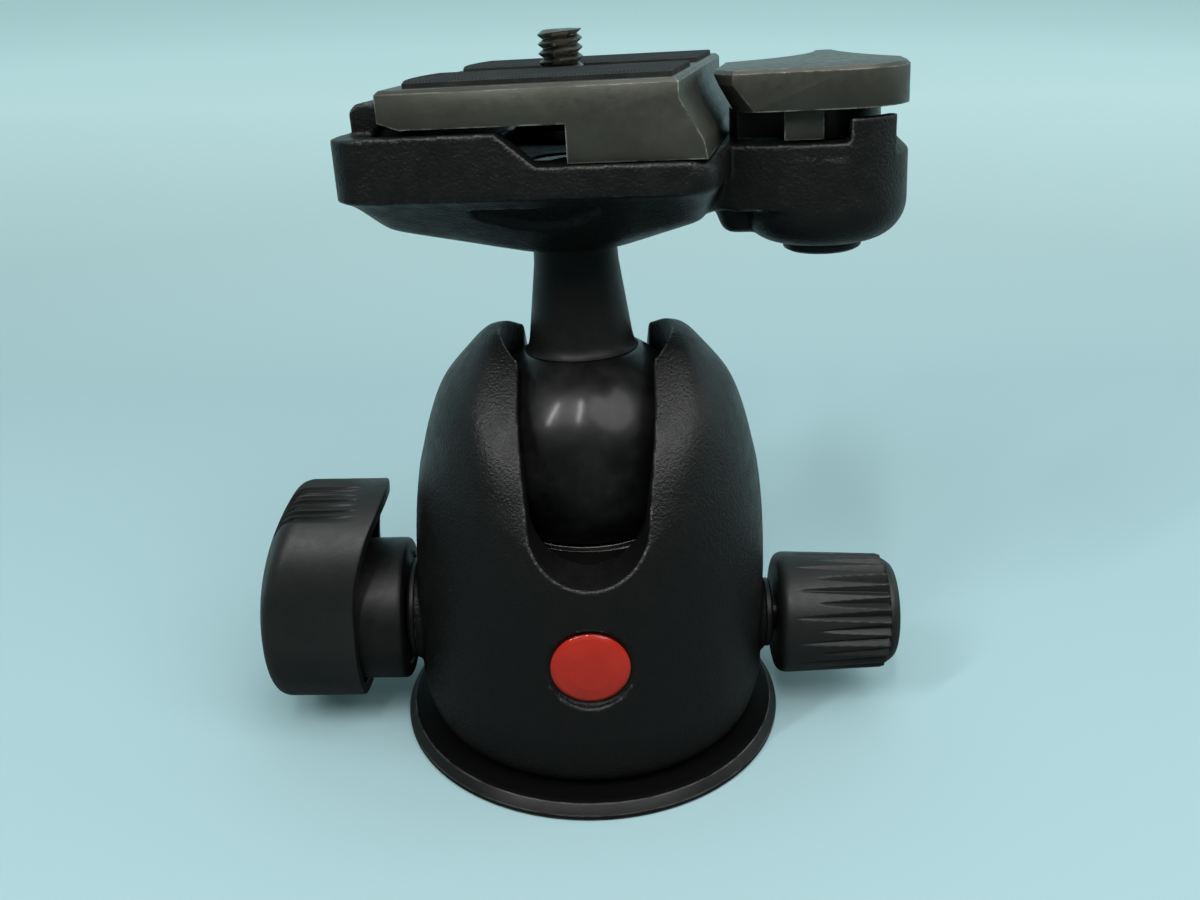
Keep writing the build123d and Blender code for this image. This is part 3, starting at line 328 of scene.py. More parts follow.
class Surface(Tree):
    """A material under construction: its principled shader, its patches, wear and grain."""

    def __init__(self, name, color, roughness, metallic=0.0, specular=0.5):
        self.material = bpy.data.materials.new(name)
        self.material.use_nodes = True
        super().__init__(self.material.node_tree, "Object")
        self.shader = self.tree.nodes["Principled BSDF"]
        self.value("Base Color", (*color, 1))
        self.value("Roughness", roughness)
        self.value("Metallic", metallic)
        self.value("Specular IOR Level", specular)

    def value(self, socket, value):
        self.shader.inputs[socket].default_value = value

    def set(self, socket, source):
        self.link(source, self.shader.inputs[socket])

    def coat(self, weight, roughness):
        self.value("Coat Weight", weight)
        self.value("Coat Roughness", roughness)

    def noise(self, scale, detail, rough=0.55, stretch=None):
        node = self.add("ShaderNodeTexNoise")
        node.inputs["Scale"].default_value = scale
        node.inputs["Detail"].default_value = detail
        node.inputs["Roughness"].default_value = rough
        source = self.place
        if stretch:
            mapping = self.add("ShaderNodeMapping")
            mapping.inputs["Scale"].default_value = stretch
            self.link(self.place, mapping.inputs["Vector"])
            source = mapping.outputs["Vector"]
        self.link(source, node.inputs["Vector"])
        return node.outputs["Fac"]

    def patches(self, noise, cut=(0.3, 0.7), to=(0.0, 1.0)):
        """Noise of a scale, detail and roughness, its middle stretched between two values."""
        return self.ramp(self.noise(*noise), cut, to)

    def color(self, factor, first, second):
        """Mix of two colours, each a tuple or another node's output."""
        node = self.add("ShaderNodeMix", data_type="RGBA")
        self.link(factor, node.inputs["Factor"])
        sockets = [socket for socket in node.inputs if socket.type == "RGBA"]
        for value, socket in zip((first, second), sockets):
            if isinstance(value, tuple):
                socket.default_value = (*value, 1)
            else:
                self.link(value, socket)
        return [socket for socket in node.outputs if socket.type == "RGBA"][0]

    def grain(self, noise, depth):
        """Relief of a noise, with its depth in millimetres."""
        node = self.add("ShaderNodeBump")
        node.inputs["Distance"].default_value = depth * MM
        self.link(self.noise(*noise), node.inputs["Height"])
        self.set("Normal", node.outputs["Normal"])

    def edges(self, radius, low, high):
        """One on outer edges, nought on flat ground."""
        bevel = self.add("ShaderNodeBevel", samples=NODE_SAMPLES)
        bevel.inputs["Radius"].default_value = radius * MM
        dot = self.add("ShaderNodeVectorMath", operation="DOT_PRODUCT")
        self.link(bevel.outputs["Normal"], dot.inputs[0])
        self.link(self.add("ShaderNodeNewGeometry").outputs["Normal"], dot.inputs[1])
        return self.ramp(dot.outputs["Value"], (1 - low, 1 - high))

    def shelter(self, reach, to=(0.0, 1.0), cut=(0.25, 0.8)):
        """From one value deep in recesses to another in the open."""
        node = self.add("ShaderNodeAmbientOcclusion", samples=NODE_SAMPLES)
        node.inputs["Distance"].default_value = reach * MM
        return self.ramp(node.outputs["AO"], cut, to)


def scaled(color, factor, lift=0.0):
    return tuple(factor * c + lift for c in color)


def coated_casting(name, color, worn, grain, depth, reach):
    """Textured black coat, rubbed to grey along its edges, with painted shade dimming its reflections
    in hollows narrower than reach.
    """
    m = Surface(name, color, 0.42)
    m.set("Roughness", m.patches((400, 3), to=(0.36, 0.50)))
    # painted shade: reflections fade almost to nothing in recesses that the ambient-occlusion node
    # finds
    m.set("Specular IOR Level", m.shelter(reach, to=(0.02, 0.32)))
    rubbed = m.times(m.edges(radius=0.5, low=0.012, high=0.07), m.patches((420, 4), cut=(0.36, 0.52)))
    wear = m.times(rubbed, m.shelter(reach, cut=(0.5, 0.75)))
    m.set("Base Color", m.color(wear, color, worn))
    m.grain((grain, 2, 0.6), depth)
    return m.material


def toothed(name, color, roughness, specular, grain=5200, depth=0.012):
    """Fine tooth and uneven gloss, still of one colour."""
    m = Surface(name, color, roughness, specular=specular)
    m.set("Roughness", m.patches((700, 3), (0.25, 0.75), to=(roughness - 0.07, roughness + 0.07)))
    m.grain((grain, 2), depth)
    return m


def satin(name, color, roughness, specular, grain=5200, depth=0.012):
    """Moulded or anodised surface."""
    m = toothed(name, color, roughness, specular, grain, depth)
    m.set("Base Color", m.color(m.patches((120, 3)), color, scaled(color, 1.35, 0.001)))
    return m.material


def seat_polymer():
    """Dark bearing plastic with a painted highlight, light grey, along its edges."""
    dark, bright = (0.0035, 0.0035, 0.0033), (0.30, 0.30, 0.28)
    m = toothed("seat_polymer", dark, 0.55, specular=0.08)
    # painted highlight: the edges turn light grey to stand for the bright line along the ring's rim
    m.set("Base Color", m.color(m.edges(radius=0.4, low=0.01, high=0.12), dark, bright))
    return m.material


def turned_metal(name, color, roughness):
    """Bare metal with fine turning lines, darkened by painted shade in its recesses."""
    m = Surface(name, color, roughness, metallic=1.0)
    bare = m.color(m.patches((500, 4)), color, scaled(color, 0.72))
    # painted shade: the metal turns near black in recesses that the ambient-occlusion node finds
    m.set("Base Color", m.color(m.shelter(reach=5.0), scaled(color, 0.12), bare))
    m.set("Roughness", m.patches((900, 4), to=(roughness - 0.08, roughness + 0.12)))
    m.grain((2600, 2, 0.5, (0.15, 0.15, 1.0)), depth=0.01)
    return m.material


def ball_coat():
    """Black coat with a thin polish: sharp faint glints over a broad sheen."""
    dark, rubbed = (0.0040, 0.0040, 0.0042), (0.014, 0.014, 0.013)
    m = Surface("ball_coat", dark, 0.36, specular=0.24)
    m.coat(weight=0.2, roughness=0.15)
    m.set("Base Color", m.color(m.patches((140, 4, 0.6), cut=(0.45, 0.7)), dark, rubbed))
    m.set("Roughness", m.patches((260, 4, 0.65), cut=(0.3, 0.72), to=(0.3, 0.44)))
    m.grain((1500, 3), depth=0.003)
    return m.material


def diecast():
    """Grey-brown lacquered casting, rubbed bright along its edges, with painted shade making it black
    in its recesses.
    """
    dull, fair = (0.058, 0.058, 0.047), (0.082, 0.082, 0.068)
    bright, black = (0.50, 0.49, 0.44), (0.004, 0.004, 0.004)
    m = Surface("diecast_grey", dull, 0.4, metallic=0.6)
    ground = m.color(m.patches((110, 5, 0.6), cut=(0.3, 0.72)), dull, fair)
    patchy = m.patches((350, 5, 0.65), cut=(0.42, 0.58))
    wear = m.times(m.edges(radius=0.4, low=0.012, high=0.09), patchy)
    # painted shade: black in recesses that the ambient-occlusion node finds; the rubbed bright edges
    # are wear
    m.set("Base Color", m.color(m.shelter(reach=7.0), black, m.color(wear, ground, bright)))
    m.set("Roughness", m.patches((800, 4), to=(0.32, 0.46)))
    m.grain((2400, 3, 0.6), depth=0.012)
    return m.material


def rubber():
    """Black rubber, dusty in patches."""
    clean, dusty = (0.008, 0.008, 0.008), (0.026, 0.026, 0.024)
    m = Surface("pad_rubber", clean, 0.72, specular=0.3)
    m.set("Base Color", m.color(m.patches((220, 5, 0.65), cut=(0.45, 0.75)), clean, dusty))
    m.grain((3600, 2), depth=0.03)
    return m.material


def badge_resin():
    """Red under a clear, glossy layer."""
    deep, light = (0.35, 0.013, 0.005), (0.41, 0.019, 0.008)
    m = Surface("badge_red", deep, 0.35, specular=0.2)
    m.coat(weight=0.7, roughness=0.04)
    m.set("Base Color", m.color(m.patches((160, 2)), deep, light))
    return m.material


def bright_rim():
    """Black anodised disc, polished by handling along its rim and duller on its flat top."""
    black, bright = (0.003, 0.003, 0.003), (0.30, 0.29, 0.275)
    m = Surface("base_black", black, 0.4)
    patchy = m.patches((300, 5, 0.6), cut=(0.36, 0.58))
    wear = m.times(m.edges(radius=0.4, low=0.01, high=0.08), patchy)
    m.set("Base Color", m.color(wear, black, bright))
    m.set("Roughness", m.patches((500, 4), to=(0.34, 0.46)))
    upward = m.part(m.add("ShaderNodeNewGeometry").outputs["Normal"], "Z")
    m.set("Specular IOR Level", m.ramp(upward, cut=(0.96, 0.85), to=(0.05, 0.34)))
    m.grain((4200, 2), depth=0.01)
    return m.material


PAINT = coated_casting(
    "body_paint", (0.0046, 0.0048, 0.0045), worn=(0.26, 0.26, 0.235),
    grain=2300, depth=0.13, reach=7.0,
)
CAST = coated_casting(
    "receiver_paint", (0.0044, 0.0047, 0.0044), worn=(0.24, 0.24, 0.215),
    grain=2200, depth=0.12, reach=15.0,
)
BALL = ball_coat()
DIECAST = diecast()
RUBBER = rubber()
BADGE = badge_resin()
BASE = bright_rim()
PLASTIC = satin(
    "knob_plastic", (0.0072, 0.0078, 0.0072), roughness=0.46, specular=0.36, grain=3800, depth=0.02,
)
SATIN_BLACK = satin("satin_black", (0.0052, 0.0054, 0.0050), roughness=0.44, specular=0.27)
STEEL = turned_metal("turned_steel", (0.24, 0.235, 0.205), roughness=0.3)
BRASS = turned_metal("turned_brass", (0.66, 0.48, 0.22), roughness=0.32)
POLYMER = seat_polymer()

NODE_MATERIALS = {
    "base_black": BASE, "steel": STEEL, "brass": BRASS, "polymer": POLYMER, "body_paint": PAINT,
    "hub_black": SATIN_BLACK, "knob_black": PLASTIC, "ball_black": BALL, "cast_black": CAST,
    "diecast_grey": DIECAST, "pad_rubber": RUBBER, "badge_red": BADGE,
}


def dress_frame():
    """Every frame node that still shows gets the detailed material of its slot."""
    for entry in frame["record"]["subparts"]:
        node = frame["nodes"][entry["node"]]
        node.data.materials.clear()
        node.data.materials.append(NODE_MATERIALS[entry["material_slot"]])


# ================= base and housing =================
DISC = [(8.0, 0.0), (31.85, 0.0), (32.1, 0.3), (32.1, 1.0), (30.95, 2.45), (30.2, 2.6), (8.0, 2.6)]
DISC_ROUNDING = [0.1, 0.15, 0.12, 0.12, 0.3]
BADGE_DOME = [(0, 27.65), (5.95, 27.65), (5.95, 28.0), (5.3, 28.45), (3.2, 28.9), (0, 29.05)]
BADGE_ROUNDING, BADGE_Z = 0.6, 25.4
SKIN_VOXEL, SKIN_PASSES, BODY_VOXEL = 0.8, 70, 0.32
SHOULDER, CROWN, CROWN_LOSS = (42.0, 49.0), (61.0, 66.0), 0.6
SKIN_GROWTH, GROWTH_ENDS = 0.25, (43.0, 50.0)    # keeps the skin off the wall below the shoulders
FOOT_TUCK, TUCK_ENDS = 1.4, (4.0, 15.0)
FOOT_DROP, DROP_ENDS = 0.5, (8.0, 16.0)


def base_disc():
    disc = turned("base_disc_turned", DISC, DISC_ROUNDING, turns=192, sharp=20, ring=True)
    place_piece(disc, "base", BASE, "base_black", "base_disc")


def blend_weight(point):
    """Where the housing's outer skin is softened: the shoulders, less on the crown and not below."""
    return fade(point.z, *SHOULDER) * (1 - CROWN_LOSS * fade(point.z, *CROWN))


def housing():
    """The frame's housing, trimmed by a softened skin so that the vault melts into the dome."""
    body = copy_of("housing", "housing_cast")
    skin = hull_of(body, "skin")
    cast(skin, SKIN_VOXEL, passes=1)
    soften(skin, blend_weight, SKIN_PASSES)
    for vertex in skin.data.vertices:
        point = vertex.co / MM
        out = Vector((point.x, point.y, 0)).normalized()
        tuck = FOOT_TUCK * (1 - fade(point.z, *TUCK_ENDS))
        growth = SKIN_GROWTH * (1 - fade(point.z, *GROWTH_ENDS)) - tuck
        vertex.co += out * growth * MM
        vertex.co.z -= FOOT_DROP * MM * (1 - fade(point.z, *DROP_ENDS))
    combined(body, skin, "INTERSECT")
    cast(body, BODY_VOXEL, passes=3)
    place_piece(body, "housing", PAINT, "body_paint", "housing")


def badge():
    place = shift(0, 0, BADGE_Z) @ turn(90, "X")
    dome = turned("badge_dome", BADGE_DOME, BADGE_ROUNDING, place, turns=96)
    place_piece(dome, "housing", BADGE, "badge_red", "badge")


# ================= locking knob =================
LOW_R, HIGH_R, RISE = 14.6, 13.5, 9.5    # the egg's two circles and the height between them
END_X, DOME_R, WALL = -55.1, 38.0, 2.0
END_WALL, END_ROUND, RIM_ROUND = 2.6, 2.0, 0.5
RIM = (    # height above the knob's axis, x of the open rim
    (24.0, -32.1), (22.9, -32.9), (19.2, -35.0), (12.4, -37.0), (7.0, -37.6), (-7.0, -37.6),
    (-15.6, -38.5),
)
RIM_SPREAD = (-1.6, -0.8, 0, 0.8, 1.6)    # heights over which the rim is averaged
RIM_ROOM = 0.8
DOME_STEPS, ROUND_STEPS, WALL_STEPS, FLOOR_STEPS = 12, 8, 26, 6
FINE_TURN, COARSE_TURN, FINE_SPREAD = math.radians(0.35), math.radians(3), math.radians(42)
GRIP_PITCH, GRIP_SPREAD, GRIP_DEPTH = 5.0, 35.0, 0.6    # degrees, degrees, millimetres
GRIP_INNER, GRIP_RUN = 0.7, 0.75    # serrations begin and end at these shares of radius and wall
TOOTH_RISE = 0.1
HUB = [(4.0, -45.0), (11.8, -45.0), (11.9, -30.5), (9.6, -30.5), (9.2, -30.9), (4.0, -30.9)]
HUB_ROUNDING = [0.2, 1.4, 0.4, 0.2]
LOCK_COLLAR = [(4.1, -30.3), (7.9, -30.3), (8.4, -29.9), (8.4, -29.2), (4.1, -29.2)]
LOCK_COLLAR_ROUNDING = [0.3, 0.3, 0.1]


def egg_radius(a, inset=0.0):
    """Distance from the knob's axis to its egg-shaped outline in direction a, which is 0 upwards."""
    low_r, high_r = LOW_R - inset, HIGH_R - inset
    side = math.acos((low_r - high_r) / RISE)
    a = abs((a + math.pi) % (2 * math.pi) - math.pi)
    if a >= side:
        return low_r
    top_corner = Vector((high_r * math.sin(side), RISE + high_r * math.cos(side)))
    if a <= math.atan2(top_corner.x, top_corner.y):
        s = RISE * math.sin(a)
        return RISE * math.cos(a) + math.sqrt(high_r ** 2 - s ** 2)
    return low_r / math.cos(side - a)


def dome_x(r, inset=0.0):
    return END_X + DOME_R - math.sqrt((DOME_R - inset) ** 2 - r * r)


def rim_x(height):
    """Where the drum's open rim lies at a height above the knob's axis."""
    for (h1, x1), (h0, x0) in zip(RIM, RIM[1:]):
        if height >= h0:
            return x0 + (x1 - x0) * (height - h0) / (h1 - h0)
    return RIM[-1][1]


def drum_column(a):
    """Points (radius, x) outside, then over the rim and inside, and the x at both ends of the wall."""
    r_out, r_in = egg_radius(a), egg_radius(a, WALL)
    height = r_out * math.cos(a)
    edge = sum(rim_x(height + step) for step in RIM_SPREAD) / len(RIM_SPREAD)
    turn_r = r_out - END_ROUND
    corner = Vector((r_out, dome_x(r_out)))
    start = Vector((turn_r, dome_x(turn_r)))
    stop = corner + Vector((0, END_ROUND))
    outside = [(turn_r * k / DOME_STEPS, dome_x(turn_r * k / DOME_STEPS)) for k in range(DOME_STEPS)]
    outside += bow(start, corner, stop, ROUND_STEPS)
    for k in range(1, WALL_STEPS):
        outside.append((r_out, stop.y + (edge - RIM_ROOM - stop.y) * k / WALL_STEPS))
    floor_edge = (r_in, dome_x(r_in, END_WALL))
    inside = rounded([(r_out, edge - RIM_ROOM), (r_out, edge), (r_in, edge), floor_edge], RIM_ROUND)
    for k in range(FLOOR_STEPS - 1, -1, -1):
        inside.append((r_in * k / FLOOR_STEPS, dome_x(r_in * k / FLOOR_STEPS, END_WALL)))
    return outside, inside, stop.y, edge


def grip_depth(a, r, x, left, edge):
    """Saw-tooth serrations over the upper lobe, running out along the wall."""
    lobe = abs(math.degrees(math.atan2(r * math.sin(a), r * math.cos(a) - RISE)))
    if lobe > GRIP_SPREAD or r < GRIP_INNER * egg_radius(a):
        return 0.0
    run = (x - (left - END_ROUND)) / (GRIP_RUN * (edge - left) + END_ROUND)
    reach = max(0.0, 1 - max(0.0, run) ** 2)
    tooth = (lobe / GRIP_PITCH) % 1.0
    height = 1 - tooth if tooth > TOOTH_RISE else tooth / TOOTH_RISE * (1 - TOOTH_RISE)
    return GRIP_DEPTH * reach * height


def drum_angles():
    """Directions about the knob's axis, closer together over the serrations."""
    angles = []
    a = -math.pi
    while a < math.pi - TINY:
        angles.append(a)
        a += FINE_TURN if abs(a + FINE_TURN / 2) < FINE_SPREAD else COARSE_TURN
    return angles


def drum():
    """Hollow egg-shaped shell with a domed end, a slanted rim and grip serrations over its top."""
    verts, faces, columns = [], [], []
    for a in drum_angles():
        outside, inside, left, edge = drum_column(a)
        line = [(r - grip_depth(a, r, x, left, edge), x) for r, x in outside] + inside
        columns.append(range(len(verts), len(verts) + len(line)))
        verts += [(r * math.sin(a), r * math.cos(a), x) for r, x in line]
    for left, right in zip(columns, columns[1:] + columns[:1]):
        for k in range(len(left) - 1):
            faces.append((left[k], right[k], right[k + 1], left[k + 1]))
    place = Matrix(((0, 0, 1, 0), (1, 0, 0, 0), (0, 1, 0, LOCK_Z), (0, 0, 0, 1)))
    shell = piece("lock_knob_drum", verts, faces, place, sharp=26)
    place_piece(shell, "locking_knob", PLASTIC, "knob_black", "lock_knob")


def lock_hub():
    hub = turned("lock_hub_turned", HUB, HUB_ROUNDING, LOCK, turns=160, sharp=28, ring=True)
    place_piece(hub, "locking_knob", SATIN_BLACK, "hub_black", "lock_knob_hub")


def lock_collar():
    collar = turned("lock_collar_ring", LOCK_COLLAR, LOCK_COLLAR_ROUNDING, LOCK, ring=True)
    place_piece(collar, "housing", SATIN_BLACK, "hub_black", "lock_collar")


# ================= friction knob =================
GRIP_LEFT, GRIP_SHOULDER = 31.2, 49.4
GRIP_BORE, GRIP_R, GRIP_TAPER = 3.1, 10.25, 0.6
NOSE_R, NOSE_END, NOSE_ROUND = 10.28, (10.2, GRIP_LEFT + 4), 1.9
SHOULDER_RUN = 0.35
SHOULDER_POINTS = [(9.5, GRIP_SHOULDER - 0.1), (9.2, GRIP_SHOULDER), (GRIP_BORE, GRIP_SHOULDER)]
GRIP_TURNS, GRIP_ROWS = 480, 34
FLUTES, FLUTE_DEPTH, FLUTE_FLOOR = 28, 0.95, 8.9
FLUTE_WIDTH, FLUTE_WIDENING, WIDTH_POWER, DEPTH_POWER = 0.14, 0.80, 0.8, 0.7
LONG_START, SHORT_START = 33.9, 37.4
CAP_DOME = [
    (0, GRIP_SHOULDER), (8.8, GRIP_SHOULDER), (8.7, 50.1), (7.9, 51.1), (5.2, 51.7), (0, 51.9),
]
CAP_ROUNDING = [0.1, 0.8, 1.4, 3.0]
FRICTION_COLLAR = [(3.05, 29.4), (5.8, 29.4), (5.8, 30.1), (5.5, 30.4), (3.05, 30.4)]
FRICTION_COLLAR_ROUNDING = [0.1, 0.2, 0.2]


def flute_depth(a, x):
    """V flutes, long and short in turn, that widen and deepen towards the shoulder."""
    cell = a / (2 * math.pi) * FLUTES
    start = LONG_START if round(cell) % 2 else SHORT_START
    reach = (x - start) / (GRIP_SHOULDER - start)
    if reach <= 0:
        return 0.0
    across = abs((cell + 0.5) % 1.0 - 0.5) * 2
    width = FLUTE_WIDTH + FLUTE_WIDENING * reach ** WIDTH_POWER
    return FLUTE_DEPTH * reach ** DEPTH_POWER * max(0.0, 1 - across / width)


def grip_stations():
    """Radius and x of the friction grip's rings, from its inner end to its shoulder."""
    nose = rounded([(GRIP_BORE, GRIP_LEFT), (NOSE_R, GRIP_LEFT), NOSE_END], NOSE_ROUND, steps=7)
    stations = nose[:-1]
    first = nose[-2][1]
    for k in range(1, GRIP_ROWS + 1):
        x = first + (GRIP_SHOULDER - SHOULDER_RUN - first) * k / GRIP_ROWS
        stations.append((GRIP_R - GRIP_TAPER * k / GRIP_ROWS, x))
    return stations + SHOULDER_POINTS


def friction_knob():
    """Tapered grip, smooth at the housing's side and fluted towards its outer end."""
    verts, faces, rings = [], [], []
    for r, x in grip_stations():
        rings.append(range(len(verts), len(verts) + GRIP_TURNS))
        for k in range(GRIP_TURNS):
            a = 2 * math.pi * k / GRIP_TURNS
            depth = flute_depth(a, x) if r > FLUTE_FLOOR else 0.0
            verts.append(((r - depth) * math.cos(a), (r - depth) * math.sin(a), x))
    for low, high in zip(rings, rings[1:] + rings[:1]):
        faces += ring_faces(low, high)
    grip = piece("friction_knob_grip", verts, faces, FRICTION, sharp=24)
    place_piece(grip, "friction_knob", PLASTIC, "knob_black", "friction_knob")


def friction_cap():
    cap = turned("friction_cap_dome", CAP_DOME, CAP_ROUNDING, FRICTION, steps=6)
    place_piece(cap, "friction_knob", PLASTIC, "knob_black", "friction_knob_cap")


def friction_collar():
    rounding = FRICTION_COLLAR_ROUNDING
    collar = turned("friction_collar_ring", FRICTION_COLLAR, rounding, FRICTION, turns=96, ring=True)
    place_piece(collar, "housing", SATIN_BLACK, "hub_black", "friction_collar")


# ================= ball, stem =================
BALL_FLAT, BALL_SEAT, BALL_STEPS = 15.5, 15.4, 72    # the flat's edge and middle lie this far up
BALL_MOUTH, BALL_CHAMFER = 5.05, 0.25
STEM = [
    (0, 15.55), (8.75, 15.55), (8.8, 15.65), (8.5, 15.95), (8.25, 16.4), (8.08, 17.0), (7.93, 17.8),
    (7.25, 22.8), (6.43, 29.0), (6.25, 32.9), (0, 32.9),
]


def ball():
    low_a = math.acos(BALL_FLAT / BALL_R)
    profile = [(0.0, BALL_SEAT), (BALL_MOUTH, BALL_SEAT)]
    profile.append((BALL_R * math.sin(low_a) - BALL_CHAMFER, BALL_FLAT))
    for k in range(1, BALL_STEPS):
        a = low_a + (math.pi - low_a) * k / BALL_STEPS
        profile.append((BALL_R * math.sin(a), BALL_R * math.cos(a)))
    profile.append((0.0, -BALL_R))
    shell = lathe("ball_polished", profile, FORE, turns=192)
    place_piece(shell, "ball", BALL, "ball_black", "ball")


def stem():
    post = lathe("stem_turned", STEM, TOP, turns=160, sharp=40)
    place_piece(post, "top", SATIN_BLACK, "hub_black", "stem")


# ================= receiver, lever, plate, in the frame of the stem =================
RECEIVER_VOXEL, BELLY_PASSES, NECK_PASSES = 0.3, 160, 110
BELLY_FOOT, BELLY_ROOF, BELLY_RIGHT = (33.4, 34.9), (41.6, 42.8), (22.0, 25.0)
NECK_LEFT, NECK_RIGHT = (20.5, 22.5), (30.0, 33.0)
NECK_FRONT, NECK_ROOF = (-18.0, -12.0), (46.5, 47.5)
POCKET_X, POCKET_HALF, POCKET_BACK, POCKET_DEPTH = 0.2, 8.4, -8, 0.9
POCKET_LOW, POCKET_HIGH, POCKET_BOW = 36.9, 41.0, 2.6
POCKET_RISE, POCKET_FALL = 0.5, 0.4
POCKET_INWARDS = (0, 0.51, 0.86)
CATCH_X, CATCH_Y = 19.8, 8.0
CATCH_BORE = [(0, 40.6), (1.65, 40.6), (1.65, 46.0), (0, 46.0)]
PIVOT_X, PIVOT_ROUNDING = 36.6, 0.5
PIVOT_HEAD = [(0, 30.2), (4.7, 30.2), (5.5, 30.6), (5.7, 31.2), (5.7, 31.8), (0, 31.8)]
LEVER_HOLLOW = [(15, -20), (32.2, -20), (31.6, -6.2), (15, -6.2)]
LEVER_FLOOR, LEVER_ROOF = 40, 50.65


def belly_weight(point):
    """Where the receiver's underside is softened into a bowl."""
    local = TOP_BACK @ point
    height = fade(local.z, *BELLY_FOOT) * (1 - fade(local.z, *BELLY_ROOF))
    return height * (1 - fade(local.x, *BELLY_RIGHT))


def neck_weight(point):
    """Where the wall's right end runs over into the lever's hub."""
    local = TOP_BACK @ point
    across = fade(local.x, *NECK_LEFT) * (1 - fade(local.x, *NECK_RIGHT))
    return across * (1 - fade(local.y, *NECK_FRONT)) * (1 - fade(local.z, *NECK_ROOF))


def pocket_depth(local):
    """Shallow pocket in the belly's front: straight above, bowed below, with slanted ends."""
    across = (local.x - POCKET_X) / POCKET_HALF
    if local.y > POCKET_BACK or abs(across) >= 1:
        return 0.0
    foot = POCKET_LOW + POCKET_BOW * across ** 2
    depth = POCKET_DEPTH * fade(local.z, foot, foot + POCKET_RISE)
    return depth * (1 - fade(local.z, POCKET_HIGH - POCKET_FALL, POCKET_HIGH))


def receiver():
    """The frame's receiver with melted corners, a bowl for a belly and a clean bore for the catch."""
    body = copy_of("receiver", "receiver_cast")
    cast(body, RECEIVER_VOXEL, passes=4)
    soften(body, belly_weight, BELLY_PASSES)
    soften(body, neck_weight, NECK_PASSES)
    inwards = TOP.to_3x3() @ Vector(POCKET_INWARDS)
    for vertex in body.data.vertices:
        vertex.co += inwards * pocket_depth(TOP_BACK @ (vertex.co / MM)) * MM
    combined(body, lathe("catch_bore", CATCH_BORE, TOP @ shift(CATCH_X, CATCH_Y, 0), turns=48))
    place_piece(body, "top", CAST, "cast_black", "receiver")


def pivot_cap():
    place = TOP @ shift(PIVOT_X, 0, 0)
    cap = turned("lever_pivot_head", PIVOT_HEAD, PIVOT_ROUNDING, place, turns=96)
    place_piece(cap, "top", SATIN_BLACK, "hub_black", "lever_pivot")


def lever():
    """The frame's lever with the front of its cam relieved."""
    body = copy_of("lever", "lever_cast")
    combined(body, prism("lever_hollow", LEVER_HOLLOW, LEVER_FLOOR, LEVER_ROOF, TOP))
    bevelled(body, width=0.22, angle=25)
    place_piece(body, "lever", DIECAST, "diecast_grey", "lever")


def plate():
    body = copy_of("plate", "plate_cast")
    bevelled(body, width=0.2, angle=30)
    place_piece(body, "plate", DIECAST, "diecast_grey", "plate")


# ================= pads =================
PAD_LOW, PAD_HIGH, RIB_HEIGHT, RIB_PITCH = 56.65, 57.24, 0.2, 0.45
PAD_LEFT, PAD_RIGHT, PAD_BOW = -16.2, 18.7, 1.6
PAD_MARGIN = 1.2
RIBS = int((PAD_RIGHT - PAD_LEFT - PAD_MARGIN) / RIB_PITCH)
RIB_SHAPE = ((0.12, 0), (0.3, 1), (0.7, 1), (0.88, 0))    # share of the pitch, share of the height
PAD_ROWS = 10
PAD_NEAR, PAD_FAR = 4.0, 23.7


def pad_top(y_in, y_out):
    """Points of the ribbed upper face, one column after the other from the left."""
    stations = [(k + at, lift) for k in range(RIBS) for at, lift in RIB_SHAPE]
    points = []
    for u, lift in [(0.0, 0.0), *stations, (RIBS, 0.0)]:
        for j in range(PAD_ROWS + 1):
            v = j / PAD_ROWS
            bend = PAD_BOW * (1 - (2 * v - 1) ** 2)
            x = PAD_LEFT - bend + (PAD_RIGHT - PAD_LEFT + bend) * u / RIBS
            rib = RIB_HEIGHT * lift if 0 < j < PAD_ROWS else 0.0
            points.append((x, y_in + (y_out - y_in) * v, PAD_HIGH + rib))
    return points


def pad(name, node, y_in, y_out):
    """Rubber strip with fine ribs across it and a bowed left end."""
    top = pad_top(y_in, y_out)
    base, width = len(top), PAD_ROWS + 1
    last = base // width - 1
    faces = []
    for a in [i * width + j for i in range(last) for j in range(PAD_ROWS)]:
        faces.append((a, a + width, a + width + 1, a + 1))
        faces.append((base + a, base + a + 1, base + a + width + 1, base + a + width))
    for a in [i * width + j for i in range(last) for j in (0, PAD_ROWS)]:
        faces.append((a, base + a, base + a + width, a + width))
    for a in [i * width + j for i in (0, last) for j in range(PAD_ROWS)]:
        faces.append((a, a + 1, base + a + 1, base + a))
    strip = piece(name, top + [(x, y, PAD_LOW) for x, y, z in top], faces, TOP, sharp=25)
    place_piece(strip, "plate", RUBBER, "pad_rubber", node)


# ================= camera screw =================
SCREW_X = -0.3
CREST_R, ROOT_R, PITCH = 3.175, 2.45, 1.27
THREAD_LOW, THREAD_HIGH, THREAD_END, THREAD_TURN = 55.2, 62.2, 0.02, 48
THREAD_START, THREAD_FIRST, THREAD_FADE = 0.3, 0.2, 0.5    # turns, share of the depth, turns
THREAD_SHAPE = [(0.0, 0.0), (0.44, 1.0), (0.56, 1.0), (1.0, 0.0)]    # share of the pitch, of the depth
SCREW_BODY = [
    (0, 46.9), (6.9, 46.9), (7.5, 47.5), (7.5, 49.0), (6.9, 49.6), (2.5, 49.6), (2.5, 57.3),
    (2.5, 57.6), (2.5, 61.8), (2.1, 62.3), (0, 62.3),
]
SCREW_ROUNDING = [0.3, 0.4, 0.4, 0.3, 0.2, 0.1, 0.1, 0.2, 0.3]
COIN_SLOT = [(-6.2, -0.8), (6.2, -0.8), (6.2, 0.8), (-6.2, 0.8)]
COIN_LOW, COIN_HIGH = 46, 48.3


